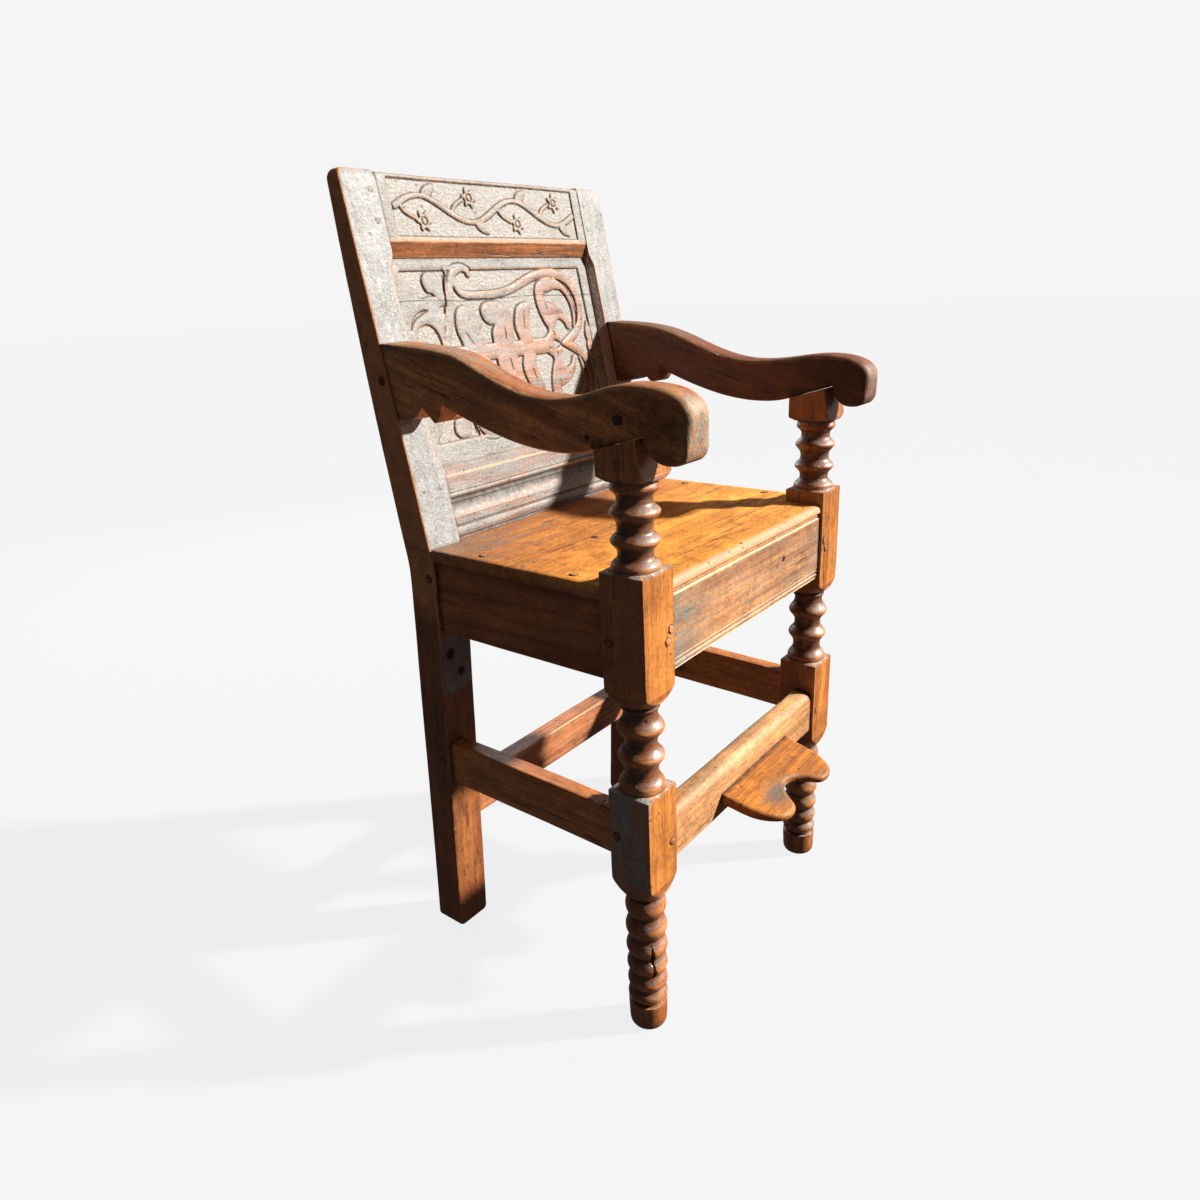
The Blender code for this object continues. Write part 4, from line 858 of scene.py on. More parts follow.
def arm(hand, side):
    """The plate of the arm, stood on edge: its level runs across the arm, and its middle lies over the posts."""
    top, bottom = arm_chains(NOSE_WEAR if side > 0 else 0.0)
    over = np.linspace(0.0, 1.0, len(top))
    radius_top = 0.0015 + 0.0060 * ease(0.0, 0.12, over) + 0.0030 * ease(0.60, 0.85, over)
    on_post = (bottom[:, 0] > -0.002) & (bottom[:, 0] < POST_SIDE + 0.002)
    radius_bottom = np.where(on_post, 0.0014, 0.0012 + 0.0034 * ease(0.26, 0.36, over))
    flat, faces, edge = plate(top, bottom, radius_top, radius_bottom, ARM_HALF)
    y, z, across = flat.T
    up = 1 - ease(0.003, 0.011, np.interp(y, top[::-1, 0], top[::-1, 1]) - z)
    nose = bell(y, -0.049, 0.009)
    on_seat = 0.8 * bell(z, 0.695, 0.010) * ((y > 0) & (y < 0.06))
    nose_side = 0.60 * (1 - ease(-0.02, 0.05, y)) * (1 - nose) * (1 - up)
    # Painted shade: a dark band along the rounded edge round the nose.
    nose_edge_shade = 0.55 * edge * (1 - ease(-0.045, -0.02, y))
    marks = {"worn": 0.30 * edge + 0.30 * up * edge + 0.20 * up + 0.30 * nose,
             "grimy": np.maximum.reduce([bell(y, stile_front(z), 0.006) + on_seat, nose_side, nose_edge_shade]),
             "dry": np.minimum(0.62 * nose + 0.22 * up + 0.24 * ease(0.12, 0.24, y), 0.66),
             "waxed": np.maximum(0.75 * up, 0.6 * nose)}
    points = behind(side * (BACK_OUT - ARM_HALF + across), y, z)
    return make_piece(f"arm_{hand}", points, faces, [], marks)


arms = [arm(hand, side) for hand, side in HANDS]
print("arms:", [len(p.data.polygons) for p in arms], "faces each")

# %% [markdown]
# ## Footrest
# A thin board let into the front stretcher, with two lobes and a notch between them. It droops a little to the
# front, and its edges are thinned by shoes. It is the same kind of plate, laid flat and then tipped.

# %% Footrest
DROOP, FOOT_HALF, FOOT_REACH, FOOT_THICK = math.radians(11.0), 0.087, 0.075, 0.014
FOOT_MIDDLE, FOOT_LEVEL, FOOT_REAR, FOOT_COUNT = 0.012, 0.2516, 0.0125, 150


def footrest():
    """Front chain through the lobes, rear chain in the housing, both in the board's own plane; then it is tipped."""
    half, reach = FOOT_HALF, FOOT_REACH / math.cos(DROOP)
    notch = (0.0, 0.034 - reach)
    corner, tip, cheek = (half, -0.2 * reach), (0.58 * half, -reach), (0.22 * half, -0.66 * reach)
    right = np.concatenate([bezier(corner, (half, -0.62 * reach), (0.86 * half, -reach), tip, 40),
                            bezier(tip, (0.34 * half, -reach), (0.36 * half, -0.80 * reach), cheek, 40),
                            bezier(cheek, (0.14 * half, -0.58 * reach), (0.08 * half, notch[1]), notch, 24),
                            [notch]])
    front = spaced(FOOT_COUNT, right[:-1] * (-1, 1), right[::-1])
    back = np.stack(np.broadcast_arrays(np.linspace(-half, half, FOOT_COUNT), FOOT_REAR), axis=1)
    flat, faces, edge = plate(front, back, np.full(FOOT_COUNT, 0.0058), np.full(FOOT_COUNT, 0.0008), FOOT_THICK / 2)
    u, v, level = flat.T
    w = (level - FOOT_THICK / 2) * (1 - 0.22 * ease(0.035, 0.075, -v))
    points = behind(FOOT_MIDDLE + u, v * math.cos(DROOP) - w * math.sin(DROOP),
                    FOOT_LEVEL + v * math.sin(DROOP) + w * math.cos(DROOP))
    patch = bell(u, -0.035, 0.040) * bell(v, -0.046, 0.020)
    # The edges are darkened, partly grime and partly painted shade; grime also lies at the housing.
    marks = {"worn": 0.30 * edge, "grimy": bell(v, 0.004, 0.006) + 0.40 * edge,
             "dry": 0.72 * patch + 0.10 * ease(0.048, 0.074, -v), "waxed": 0.0}
    return make_piece("footrest", points, faces, [], marks)


board = footrest()
print("footrest:", len(board.data.polygons), "faces")

# %% [markdown]
# ## Carving
# The carver sank a flat ground round a drawing and left the drawing standing. So the panel is a height field: for
# each point we need its distance to the edge of the drawing, less than zero inside. Curves through a few points
# give the outlines of leaves and the middle lines of bands. The lower half mirrors the upper half, so the height
# is folded about the middle of the panel.

# %% Smooth curves and distances
FAR = 9.0                                          # distances in millimetres are not followed further than this


def through(points, closed, steps=7):
    """Smooth curve through points (Catmull-Rom): each stretch bends with the two points beside it."""
    p = np.array(points, float)
    ends = (p[-1:], p[:2]) if closed else (2 * p[:1] - p[1:2], 2 * p[-1:] - p[-2:-1])
    q = np.concatenate([ends[0], p, ends[1]])
    a, b, c, d = q[:-3, None], q[1:-2, None], q[2:-1, None], q[3:, None]
    t = np.linspace(0.0, 1.0, steps, endpoint=False)[None, :, None]
    curve = 0.5 * (2 * b + (c - a) * t + (2 * a - 5 * b + 4 * c - d) * t ** 2 + (3 * b - 3 * c + d - a) * t ** 3)
    curve = curve.reshape(-1, p.shape[1])
    return curve if closed else np.concatenate([curve, p[-1:]])


def to_segments(field, start, end):
    """Distance from each field point to each straight segment, and how far along it the nearest point is."""
    way = end - start
    rel = field[:, None, :] - start[None]
    t = np.einsum("nsk,sk->ns", rel, way) / np.maximum(np.einsum("sk,sk->s", way, way), 1e-12)
    t = np.clip(t, 0.0, 1.0)
    return np.linalg.norm(rel - t[..., None] * way[None], axis=-1), t


def near_box(field, curve, margin):
    """The field points close to a curve; the rest are left at a large distance."""
    return np.all((field > curve.min(axis=0) - margin) & (field < curve.max(axis=0) + margin), axis=1)


print("points of a smooth ring through four:", len(through([(0, 0), (1, 0), (1, 1), (0, 1)], True)))

# %% Leaves and bands
def leaf(field, points):
    """Signed distance to a closed smooth outline: below zero where a line to the right crosses it an odd number
    of times."""
    curve = through(points, True)
    after = np.roll(curve, -1, axis=0)
    result = np.full(len(field), FAR)
    near = near_box(field, curve, FAR)
    f = field[near]
    gap = to_segments(f, curve, after)[0].min(axis=1)
    straddles = (curve[None, :, 1] > f[:, None, 1]) != (after[None, :, 1] > f[:, None, 1])
    run, rise = (after - curve).T
    cross = curve[:, 0] + (f[:, None, 1] - curve[:, 1]) / np.where(rise == 0, 1e-9, rise) * run
    inside = (straddles & (f[:, None, 0] < cross)).sum(axis=1) % 2 == 1
    result[near] = np.where(inside, -gap, gap)
    return result


def band(field, points):
    """Signed distance to a band: points are (x, h, half-width), and the width changes smoothly along it."""
    curve = through(points, False)
    result = np.full(len(field), FAR)
    near = near_box(field, curve[:, :2], FAR + curve[:, 2].max())
    gap, t = to_segments(field[near], curve[:-1, :2], curve[1:, :2])
    width = curve[:-1, 2] * (1 - t) + curve[1:, 2] * t
    result[near] = (gap - width).min(axis=1)
    return result


def drawn(field, shapes):
    """Signed distance to the nearest of several shapes: bands have three numbers at each point, leaves have two."""
    return np.minimum.reduce([(band if len(shape[0]) == 3 else leaf)(field, shape) for shape in shapes])


trial = band(np.array([[5.0, 3.0]]), [(0, 0, 2), (5, 0, 2), (10, 0, 2)])
print("a point 3 mm from a band of half-width 2:", trial.round(2))

# %% [markdown]
# ### The drawing on the panel
# In millimetres, with x from the middle and h up the slope from the knee. On the left a tall stem ends in a hook,
# and a band runs from it along the top and round a tulip on the right. Three thumb leaves stand on a bar along the
# middle of the panel. Left of the stem the wood was left standing and only pockets were sunk.

# %% Panel drawing
MIDDLE, BORDER = 243.0, 343.0
STEM = [(-123, 236, 5.4), (-118, 256, 5.3), (-106, 281, 5.4), (-97, 306, 5.4), (-91, 327, 5.2), (-83, 339, 4.8),
        (-73, 344, 4.2), (-64, 345, 3.9), (-58, 341, 3.6), (-57, 337, 3.2)]
SWEEP = [(-85, 333, 3.6), (-81, 322, 4.2), (-74, 315, 4.4), (-60, 312.5, 4.4), (-40, 312.5, 4.6), (-18, 313, 4.6),
         (10, 317, 4.8), (38, 326, 5.2), (63, 333.5, 5.8), (91, 336.5, 6.2), (112, 334.5, 6.2), (129, 327, 6.0),
         (140, 315, 5.8), (146, 301, 5.6), (147, 285, 5.8), (141, 268, 6.2), (129, 256, 6.2), (112, 247, 6.0),
         (90, 236, 5.6)]
INNER = [(84, 324, 6.0), (103, 324, 5.4), (118, 316, 4.4), (128, 303, 4.0), (132, 289, 3.6), (131, 275, 2.8),
         (127, 265, 1.6)]
BAR = [(-112, 243, 9.0), (-60, 243, 9.5), (0, 243, 9.5), (60, 243, 10.0), (74, 243, 9.0)]
THUMBS = [
    [(-94, 287), (-88, 297), (-77, 300.5), (-64, 295), (-56, 286), (-52, 277), (-57, 269), (-54, 262), (-50, 254),
     (-60, 244), (-86, 244), (-92, 258), (-96, 272)],
    [(-49, 292), (-44, 301), (-29, 304), (-12, 302), (1, 293), (6, 280), (3, 266), (1, 252), (-10, 243), (-34, 244),
     (-37, 258), (-35, 268), (-30, 275), (-38, 276), (-46, 282)],
    [(12, 286), (18, 295), (29, 300), (43, 300), (43, 291), (38, 280), (35, 266), (38, 254), (34, 243), (16, 243),
     (12, 255), (8, 270)]]
TULIP = [(61, 318), (70, 327), (90, 331), (108, 325), (111, 315), (100, 316), (88, 313), (78, 311), (77, 300),
         (88, 297), (103, 289), (116, 277), (119, 263), (113, 262), (106, 272), (96, 276), (88, 268), (88, 258),
         (94, 251), (88, 243), (60, 243), (63, 253), (71, 259), (72, 265), (66, 275), (60, 290), (58, 305)]
TULIP_EYE = [(79, 249), (90, 246), (95, 242), (88, 238), (79, 237)]
PETAL = [(151, 244), (150, 256), (157, 270), (161, 258), (161, 244), (157, 233)]
MASS_EDGE = ([236, 256, 281, 306, 327, 341, 352], [-126, -122, -111, -102, -97, -93, -90])
POCKETS = [
    [(-166, 343), (-130, 343.5), (-97, 343), (-101, 322), (-105, 300), (-117, 311), (-129, 313), (-141, 311),
     (-150, 317), (-159, 331)],
    [(-168, 276, 0.4), (-163, 285, 1.8), (-154, 292, 2.6), (-144, 296, 2.4), (-137, 297, 0.8)],
    [(-162, 262), (-160, 274), (-153, 280), (-142, 282), (-132, 277), (-126, 266), (-124, 250), (-126, 236),
     (-160, 236)],
    [(-114, 277, 0.8), (-117, 266, 2.6), (-121, 254, 2.8)],
    [(-117, 299), (-108, 303), (-110, 292)]]
LOBE = [(-135, 330), (-131, 338), (-122, 341), (-112, 338), (-107, 326), (-104, 308), (-113, 302), (-121, 315),
        (-131, 319)]
CUTS = [
    [(-99, 338, 0.7), (-102, 320, 0.8), (-107, 300, 0.8), (-112, 283, 0.5)],
    [(-88, 346, 0.5), (-80, 349.5, 0.9), (-66, 350.5, 0.9), (-55, 346, 0.9), (-51, 342, 0.6)],
    [(-84, 270, 0.4), (-79, 262, 0.9), (-73, 253, 0.6)],
    [(-12, 272, 0.4), (-13, 263, 0.9), (-14, 255, 0.5)],
    [(30, 289, 0.3), (27, 278, 0.9), (25, 268, 0.3)],
    [(78, 313, 0.5), (76, 303, 0.9), (77, 290, 0.6)],
    [(80, 262, 0.4), (82, 256, 1.0), (80, 251, 0.4)],
    [(108, 328, 0.5), (122, 321, 0.8), (133, 308, 0.9), (138, 294, 0.9), (138, 280, 0.8), (134, 268, 0.5)]]


def panel_drawing(x, h):
    """Signed distance to the standing wood and to the fine cuts, for arrays of x and h in millimetres."""
    field = np.stack([x.ravel(), MIDDLE + np.abs(h.ravel() - MIDDLE)], axis=1)
    wide, high = field.T
    standing = np.maximum(drawn(field, [STEM, SWEEP, INNER, BAR, *THUMBS, TULIP, PETAL]), -leaf(field, TULIP_EYE))
    mass = wide - np.interp(high, *MASS_EDGE)
    mass = np.minimum(np.maximum(mass, -drawn(field, POCKETS)), np.maximum(leaf(field, LOBE), mass))
    outside = np.maximum(wide - 160.0 - (BORDER - high) * 0.02, high - BORDER)
    standing = np.minimum.reduce([standing, mass, -outside])
    return standing.reshape(x.shape), drawn(field, CUTS).reshape(x.shape)


trial = panel_drawing(np.array([[65.0]]), np.array([[300.0]]))[0]
print("field at the tulip's petal:", trial.round(2), "mm from its edge")

# %% Panel
PANEL_HALF, PANEL_DEPTH, PANEL_THICK, BACK_ROWS = 0.1788, 0.0095, 0.006, 356
PANEL_LOW, PANEL_HIGH = 0.1163, 0.3573
GROUND, ARRIS, CUT = 0.0028, 0.0010, 0.0011        # depths


def across_back(half, rows, corners, reach, arc, sides):
    """A section (depth, height) of the raked back carried from side to side: x, depth, height and edge mark of
    every point."""
    loop, edge = rounded_loop(corners, reach, arc, sides)
    x = np.linspace(-half, half, rows)[:, None]
    wide, depth, height, edge = np.broadcast_arrays(x, loop[:, 0], loop[:, 1], edge)
    return wide, depth.copy(), height, edge


def relief(standing, cuts):
    """Depth below the standing wood (a steep wall at the edge, a softened arris and thin V-shaped cuts), and the
    ground mark."""
    wall = ease(-0.35, 0.9, standing)
    arris = ARRIS * np.exp(np.minimum(standing, 0.0) / 1.9)
    cut = CUT * (1 - ease(-0.7, 0.5, cuts))
    return GROUND * wall + arris * (1 - wall) + cut, wall


def back_panel():
    """The front side of the panel is sunk by the relief of its drawing."""
    rear = PANEL_DEPTH + PANEL_THICK
    corners = [(PANEL_DEPTH, PANEL_LOW), (PANEL_DEPTH, PANEL_HIGH), (rear, PANEL_HIGH), (rear, PANEL_LOW)]
    wide, depth, h, _ = across_back(PANEL_HALF, BACK_ROWS, corners, 0.0003, 2, [240, 3, 12, 3])
    front = depth[0] < PANEL_DEPTH + 0.0001
    standing, cuts = panel_drawing(wide[:, front] * 1000, h[:, front] * 1000)
    sunk, wall = relief(standing, cuts)
    depth[:, front] += sunk
    crack = bell(h, 0.3075 + 0.0016 * np.sin(wide * 31), 0.0007)[:, front]
    ground, worn, grimy = (np.zeros(depth.shape) for _ in range(3))
    ground[:, front] = wall
    worn[:, front] = 0.8 * bell(standing, -0.9, 0.9)
    # Dark lines on the ground beside the standing wood: partly dirt, partly painted shade.
    grimy[:, front] = np.clip(0.85 * bell(standing, 1.0, 1.0) + 0.8 * (1 - ease(-0.6, 0.5, cuts)) + crack, 0, 1)
    carved = (wide < 0.158) * (h < 0.345) * ease(0.140, 0.150, h)
    rosy = ease(-0.04, 0.09, wide - 1.1 * (h - 0.30)) * carved
    pink = ease(-0.16, -0.06, wide) * carved
    rim = bell(np.abs(wide), PANEL_HALF, 0.004) + bell(h, PANEL_HIGH, 0.004) + bell(h, PANEL_LOW, 0.004)
    return tube("back_panel", on_back(wide, depth, h), "dry_grey_oak", worn=worn, grimy=grimy + 0.5 * rim,
                dry=1.0 - (1 - ground) * (0.30 * pink + 0.30 * rosy), ground=ground, waxed=0.0)


panel = back_panel()
print("panel:", len(panel.data.polygons), "faces")

# %% [markdown]
# ### The crest
# Within a raised border the crest has a sunk, stippled field. A running vine stands in it: a stem that waves from
# end to end, with a leaf outside and a six-petalled rose inside each of its four bends, an old joiner's ornament.
# Its strokes have the width of those on the panel. A rose is a circle whose radius follows a cosine of the angle.

# %% Crest drawing
VINE_LEVEL, VINE_PITCH, VINE_HEIGHT, VINE_HALF = 410.5, 80.0, 14.0, 158.0
FIELD_HALF, FIELD_LOW, FIELD_HIGH = 162.5, 378.4, 442.0
VINE_BENDS = (-120.0, -40.0, 40.0, 120.0)
ROSE_RADIUS, PETAL_WAVE, RING_RADIUS, HEART_RADIUS = 9.6, 2.4, 5.0, 3.4


def crest_drawing(x, h):
    """Signed distance to the border and the running vine: a sine stem, leaves, and roses whose radius is
    r + a cos(6 angle)."""
    field = np.stack([x.ravel(), h.ravel()], axis=1)
    wide, high = field.T
    t = np.linspace(-VINE_HALF, VINE_HALF, 65)
    wave = VINE_LEVEL + VINE_HEIGHT * np.sin(math.pi * t / VINE_PITCH)
    shapes = [band(field, np.stack([t, wave, 2.9 + 0.5 * np.cos(2 * math.pi * t / VINE_PITCH)], axis=1))]
    for n, centre in enumerate(VINE_BENDS):
        up = 1.0 if n % 2 == 0 else -1.0

        def bent(*spots):
            """Points beside the middle of this bend, turned to its side of the stem; a third number is a width."""
            return [(centre + along, VINE_LEVEL + up * lift, *width) for along, lift, *width in spots]

        away = field - np.array(bent((2.0, -14.5)))
        reach, turn = np.hypot(away[:, 0], away[:, 1]), np.arctan2(away[:, 1], away[:, 0])
        petals = reach - ROSE_RADIUS - PETAL_WAVE * np.cos(6 * turn + n)
        shapes += [np.maximum(petals, RING_RADIUS - reach), reach - HEART_RADIUS,
                   drawn(field, [bent((-31, 4, 2.4), (-24, -5, 2.0), (-10, -12, 1.6)),
                                 bent((6, 17), (14, 25), (27, 27), (24, 19), (16, 13))])]
    inside = np.maximum.reduce([np.abs(wide) - FIELD_HALF, FIELD_LOW - high, high - FIELD_HIGH])
    return np.minimum(np.minimum.reduce(shapes), -inside).reshape(x.shape)


trial = crest_drawing(np.zeros((1, 1)), np.full((1, 1), VINE_LEVEL))
print("field at the middle of the stem:", trial.round(2), "mm from its edge")

# %% Crest
CREST_FACE, CREST_LOW, CREST_HIGH, CREST_THICK = 0.3739, 0.3566, 0.4463, 0.019
BEVEL_DEPTH = 0.0078


def crest_rail():
    """The bevel under the face is a side of the section; the front side is sunk by the drawing."""
    corners = [(0.0, CREST_FACE), (0.0, CREST_HIGH), (CREST_THICK, CREST_HIGH), (CREST_THICK, CREST_LOW),
               (BEVEL_DEPTH, CREST_LOW)]
    wide, depth, h, edge = across_back(BACK_IN - FIT, BACK_ROWS, corners, (0.0030, 0.0034, 0.0030, 0.001, 0.0012), 6,
                                       [66, 4, 10, 2, 10])
    front = (depth[0] < 0.0016) & (h[0] > CREST_FACE - 0.0001)
    bevel = (h < CREST_FACE - 0.0005) & (depth < 0.0085)
    standing = crest_drawing(wide[:, front] * 1000, h[:, front] * 1000)
    sunk, wall = relief(standing, np.full(standing.shape, FAR))
    depth[:, front] += 0.85 * sunk
    ground, grimy = np.zeros(depth.shape), np.zeros(depth.shape)
    ground[:, front] = wall
    # Dark lines on the ground beside the standing wood: partly dirt, partly painted shade.
    grimy[:, front] = 0.85 * bell(standing, 1.0, 1.0)
    worn = edge * np.where(h > CREST_HIGH - 0.006, 0.45, 1.0)
    worn[:, front] = np.maximum(worn[:, front], 0.9 * bell(standing, -0.8, 1.0))
    return tube("crest_rail", on_back(wide, depth, h), "dry_grey_oak", worn=worn,
                grimy=grimy + 0.7 * bell(np.abs(wide), BACK_IN, 0.003),
                dry=np.where(bevel, 0.0, 1.0) * (1 - 0.8 * (h > CREST_HIGH - 0.0012)), ground=ground, waxed=0.0)


crest = crest_rail()
print("crest:", len(crest.data.polygons), "faces")

# %% [markdown]
# ### The lower rail of the back
# Its face is run with a joiner's moulding: a flat, a small bead, a quirk, a long hollow, a fillet, another flat and
# a round bead just above the seat. Each is a simple depth over a range of heights, and they are added up.

# %% Lower back rail
MOULDINGS = (  # from, to, and depth for the share s of the way up
    (0.0795, 0.0856, lambda s: 0.0018 * np.abs(2 * s - 1) ** 2.2),
    (0.0734, 0.0795, lambda s: 0.0018 + 0.0026 * np.sin(math.pi * s) ** 0.5),
    (0.0571, 0.0734, lambda s: 0.0006 + 0.0036 * np.sin(math.pi / 2 * s) ** 1.4),
    (0.0448, 0.0470, lambda s: 0.0022 * np.sin(math.pi * s)),
    (0.0336, 0.0448, lambda s: 0.0020 * np.abs(2 * s - 1) ** 2.4))


def moulding(h):
    """Depth of the moulding at heights up the slope, in metres."""
    depth = 0.0030 * (1 - ease(0.0310, 0.0340, h))
    for low, high, shape in MOULDINGS:
        here = (h >= low) & (h < high)
        depth[here] += shape((h[here] - low) / (high - low))
    return depth


def lower_back_rail():
    """A bevel at the top, the moulding, and a level underside."""
    low, face, high, deep = 0.0288, 0.1058, 0.1170, 0.024
    corners = [(0.0, low), (0.0, face), (BEVEL_DEPTH, high), (deep, high), (deep, low + deep * math.tan(RAKE))]
    wide, depth, h, edge = across_back(BACK_IN - FIT, 90, corners, (0.0008, 0.0024, 0.001, 0.002, 0.001), 6,
                                       [130, 8, 3, 10, 4])
    front = (depth < 0.0006) & (h < face - 0.001)
    bevel = (h > face - 0.001) & (depth < 0.008)
    cut = np.where(front, moulding(h), 0.0)
    lip = 0.25 * front * bell(np.gradient(cut, axis=1), 0.0, 0.0001) * (cut < 0.0004)
    return tube("lower_back_rail", on_back(wide, depth + cut, h), "dry_grey_oak",
                worn=0.7 * edge + lip + 0.15 * bevel,
                grimy=0.8 * np.clip(300 * (cut - 0.0009), 0, 1) + 0.7 * bell(np.abs(wide), BACK_IN, 0.003),
                dry=np.where(bevel, 0.70, 0.64), ground=0.0, waxed=0.0)


lower_rail = lower_back_rail()
print("lower back rail:", len(lower_rail.data.polygons), "faces")

# %% [markdown]
# ## Pegs
# The joints are held by split oak pegs, cut off almost flush. Seen close, each is an uneven disc, slightly domed,
# in a dark ring where dirt has filled the gap. The solid gives each peg's place: its longest way is the peg's own,
# and its head is the end that narrows to a dome.

# %% Pegs
PEG_RADII = np.array([0.0052, 0.0052, 0.0042, 0.0039, 0.0036, 0.0026, 0.0012])[:, None]
PEG_LIFTS = np.array([-0.0030, 0.00008, 0.00006, 0.00045, 0.00068, 0.00080, 0.00084])[:, None] + 0.0004
PEG_GRIME = np.array([1.0, 1.0, 1.0, 0.35, 0.1, 0.0, 0.0])[:, None]
PEG_DOME = (np.arange(len(PEG_RADII)) > 2)[:, None]        # the rings above the dark gap
PEG_SUNK, END_SLICE, PEG_COLUMNS = 0.0008, 0.0001, 20


def peg(node, seed):
    """Rings round an axis, the way in which the solid's points spread most: a dark skirt flush with the face, a rim,
    and a dome that closes in a small lid."""
    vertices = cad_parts[node].data.vertices
    points = np.empty(len(vertices) * 3, np.float32)
    vertices.foreach_get("co", points)
    points = points.reshape(-1, 3)
    centre = points.mean(axis=0)
    long = np.linalg.svd(points - centre, full_matrices=False)[2][0]
    along = (points - centre) @ long
    spread = np.linalg.norm(points - centre - along[:, None] * long, axis=1)
    if spread[along > along.max() - END_SLICE].max() > spread[along < along.min() + END_SLICE].max():
        long, along = -long, -along
    head = centre + long * (along.max() - PEG_SUNK)
    side = np.cross(long, [0.31, 0.53, 0.79])
    side /= np.linalg.norm(side)
    other = np.cross(long, side)
    dice = np.random.default_rng(seed)
    angle = np.linspace(0.0, 2 * math.pi, PEG_COLUMNS, endpoint=False)
    uneven = 1 + sum(dice.normal(0, 0.035) * np.cos(k * angle + dice.uniform(0, 6)) for k in (2, 3, 4, 5))
    tilt = 0.05 * dice.normal(size=2)
    u, v = PEG_RADII * uneven * np.cos(angle), PEG_RADII * uneven * np.sin(angle)
    w = PEG_LIFTS + (u * tilt[0] + v * tilt[1]) * PEG_DOME
    grid = head + u[..., None] * side + v[..., None] * other + w[..., None] * long
    dark = 0.85 if node.startswith("arm") else 0.55 * abs(long[0])
    bare = 0.8 if node.startswith(("crest", "lower")) else 0.0
    return tube(f"{node}_head", grid, "peg_oak", node,
                worn=0.0, grimy=np.maximum(PEG_GRIME, dark), dry=bare, waxed=0.0)


peg_nodes = sorted(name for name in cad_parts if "_peg_" in name)
pegs = [peg(node, seed) for seed, node in enumerate(peg_nodes)]
print("pegs:", len(pegs))

# %% [markdown]
# ## Oak, layer by layer
# Old waxed oak is not one colour. Under everything is the grain. Over it come the darkened finish, pale wood where
# edges have been rubbed, dirt in the hollows, and a dry grey skin where the wax has gone. In places the same layers
# also lay painted shade, painted light, painted highlights and a painted sky reflection. Each layer is a node group
# that gives a mask, a colour or a height, so that every finish below can use the same layers with its own values.

# %% Layers as node groups
SOCKET_KINDS = {"Vector": "Vector", "Centre": "Vector", "Colour": "Color", "Pale": "Color", "Dark": "Color",
                "Brown": "Color"}


def layer(takes, gives):
    """Turn a function into a node group: it gets the group's inputs, and returns what the group's outputs give."""
    def make(work):
        group = bpy.data.node_groups.new(work.__name__, 'ShaderNodeTree')
        for labels, way in ((takes, 'INPUT'), (gives, 'OUTPUT')):
            for label in labels.split():
                kind = "NodeSocket" + SOCKET_KINDS.get(label, "Float")
                group.interface.new_socket(name=label, in_out=way, socket_type=kind)
        inner = group.nodes.new("NodeGroupInput").outputs
        outer = group.nodes.new("NodeGroupOutput").inputs
        results = work(*(Value(group, inner[label]) for label in takes.split()))
        for label, result in zip(gives.split(), results):
            join(group, result, outer[label])
        return group
    return make


print("sockets that hold a vector or a colour:", list(SOCKET_KINDS))

# %% Grain and old wax
PORE_COLOUR = (0.030, 0.011, 0.005)


@layer("Vector Pale Dark Pores", "Colour Height Checks")
def oak_grain(vector, pale, dark, pores):
    """Growth bands, streaks and pores drawn out along X; drying checks are thin level lines of another noise."""
    bands = vector.noise((3.2, 34.0, 34.0), 4.0, 0.55, 0.7)
    streaks = vector.noise((5.0, 150.0, 150.0), 4.0, 0.6, 0.25)
    fine = vector.noise((16.0, 520.0, 520.0), 2.0, 0.5)
    pits = vector.noise((75.0, 900.0, 900.0), 2.0, 0.5).remap(0.57, 0.70)
    tone = bands * 0.42 + streaks * 0.36 + fine * 0.22
    colour = dark.tint(tone.remap(0.42, 0.58), pale).tint(pits * pores, PORE_COLOUR)
    contour = (vector.noise((4.5, 105.0, 105.0), 3.0, 0.5, 0.15) - 0.5).calc('ABSOLUTE')
    some = vector.noise((3.0, 20.0, 20.0), 2.0, 0.5).remap(0.53, 0.60)
    return colour, tone * 0.9 - pits * 0.8, contour.remap(0.020, 0.006) * some


@layer("Vector", "Clouds Specks Mottle")
def old_wax(vector):
    """Slow clouds where the finish has darkened, fine specks in it, and a mottle that dims and lights the colour."""
    blend = vector.noise(42.0, 4.0, 0.6, 0.5) * 0.45 + vector.noise(260.0, 4.0, 0.7) * 0.55
    return (vector.noise(13.0, 5.0, 0.6, 0.4).remap(0.40, 0.64), vector.noise(170.0, 4.0, 0.65).remap(0.34, 0.68),
            blend.remap(0.36, 0.64, 0.55, 1.38))


print("layers of sound wood:", oak_grain.name, old_wax.name)

# %% Wear, grime, dry skin and dents
@layer("Vector Worn", "Mask")
def wear_and_painted_light(vector, worn):
    """The painted wear-and-light number, broken up by noise and sharpened into patches of bare wood; in places these
    pale patches are painted light.
    """
    return [((vector.noise(62.0, 5.0, 0.65) - 0.5) * 1.3 + worn).remap(0.38, 0.92)]


@layer("Vector Grimy", "Mask")
def grime_and_painted_shade(vector, grimy):
    """The painted grime-and-shade number, broken up by finer noise: dirt, and in places painted shade."""
    return [((vector.noise(120.0, 5.0, 0.6) - 0.5) * 0.9 + grimy).remap(0.22, 0.95)]


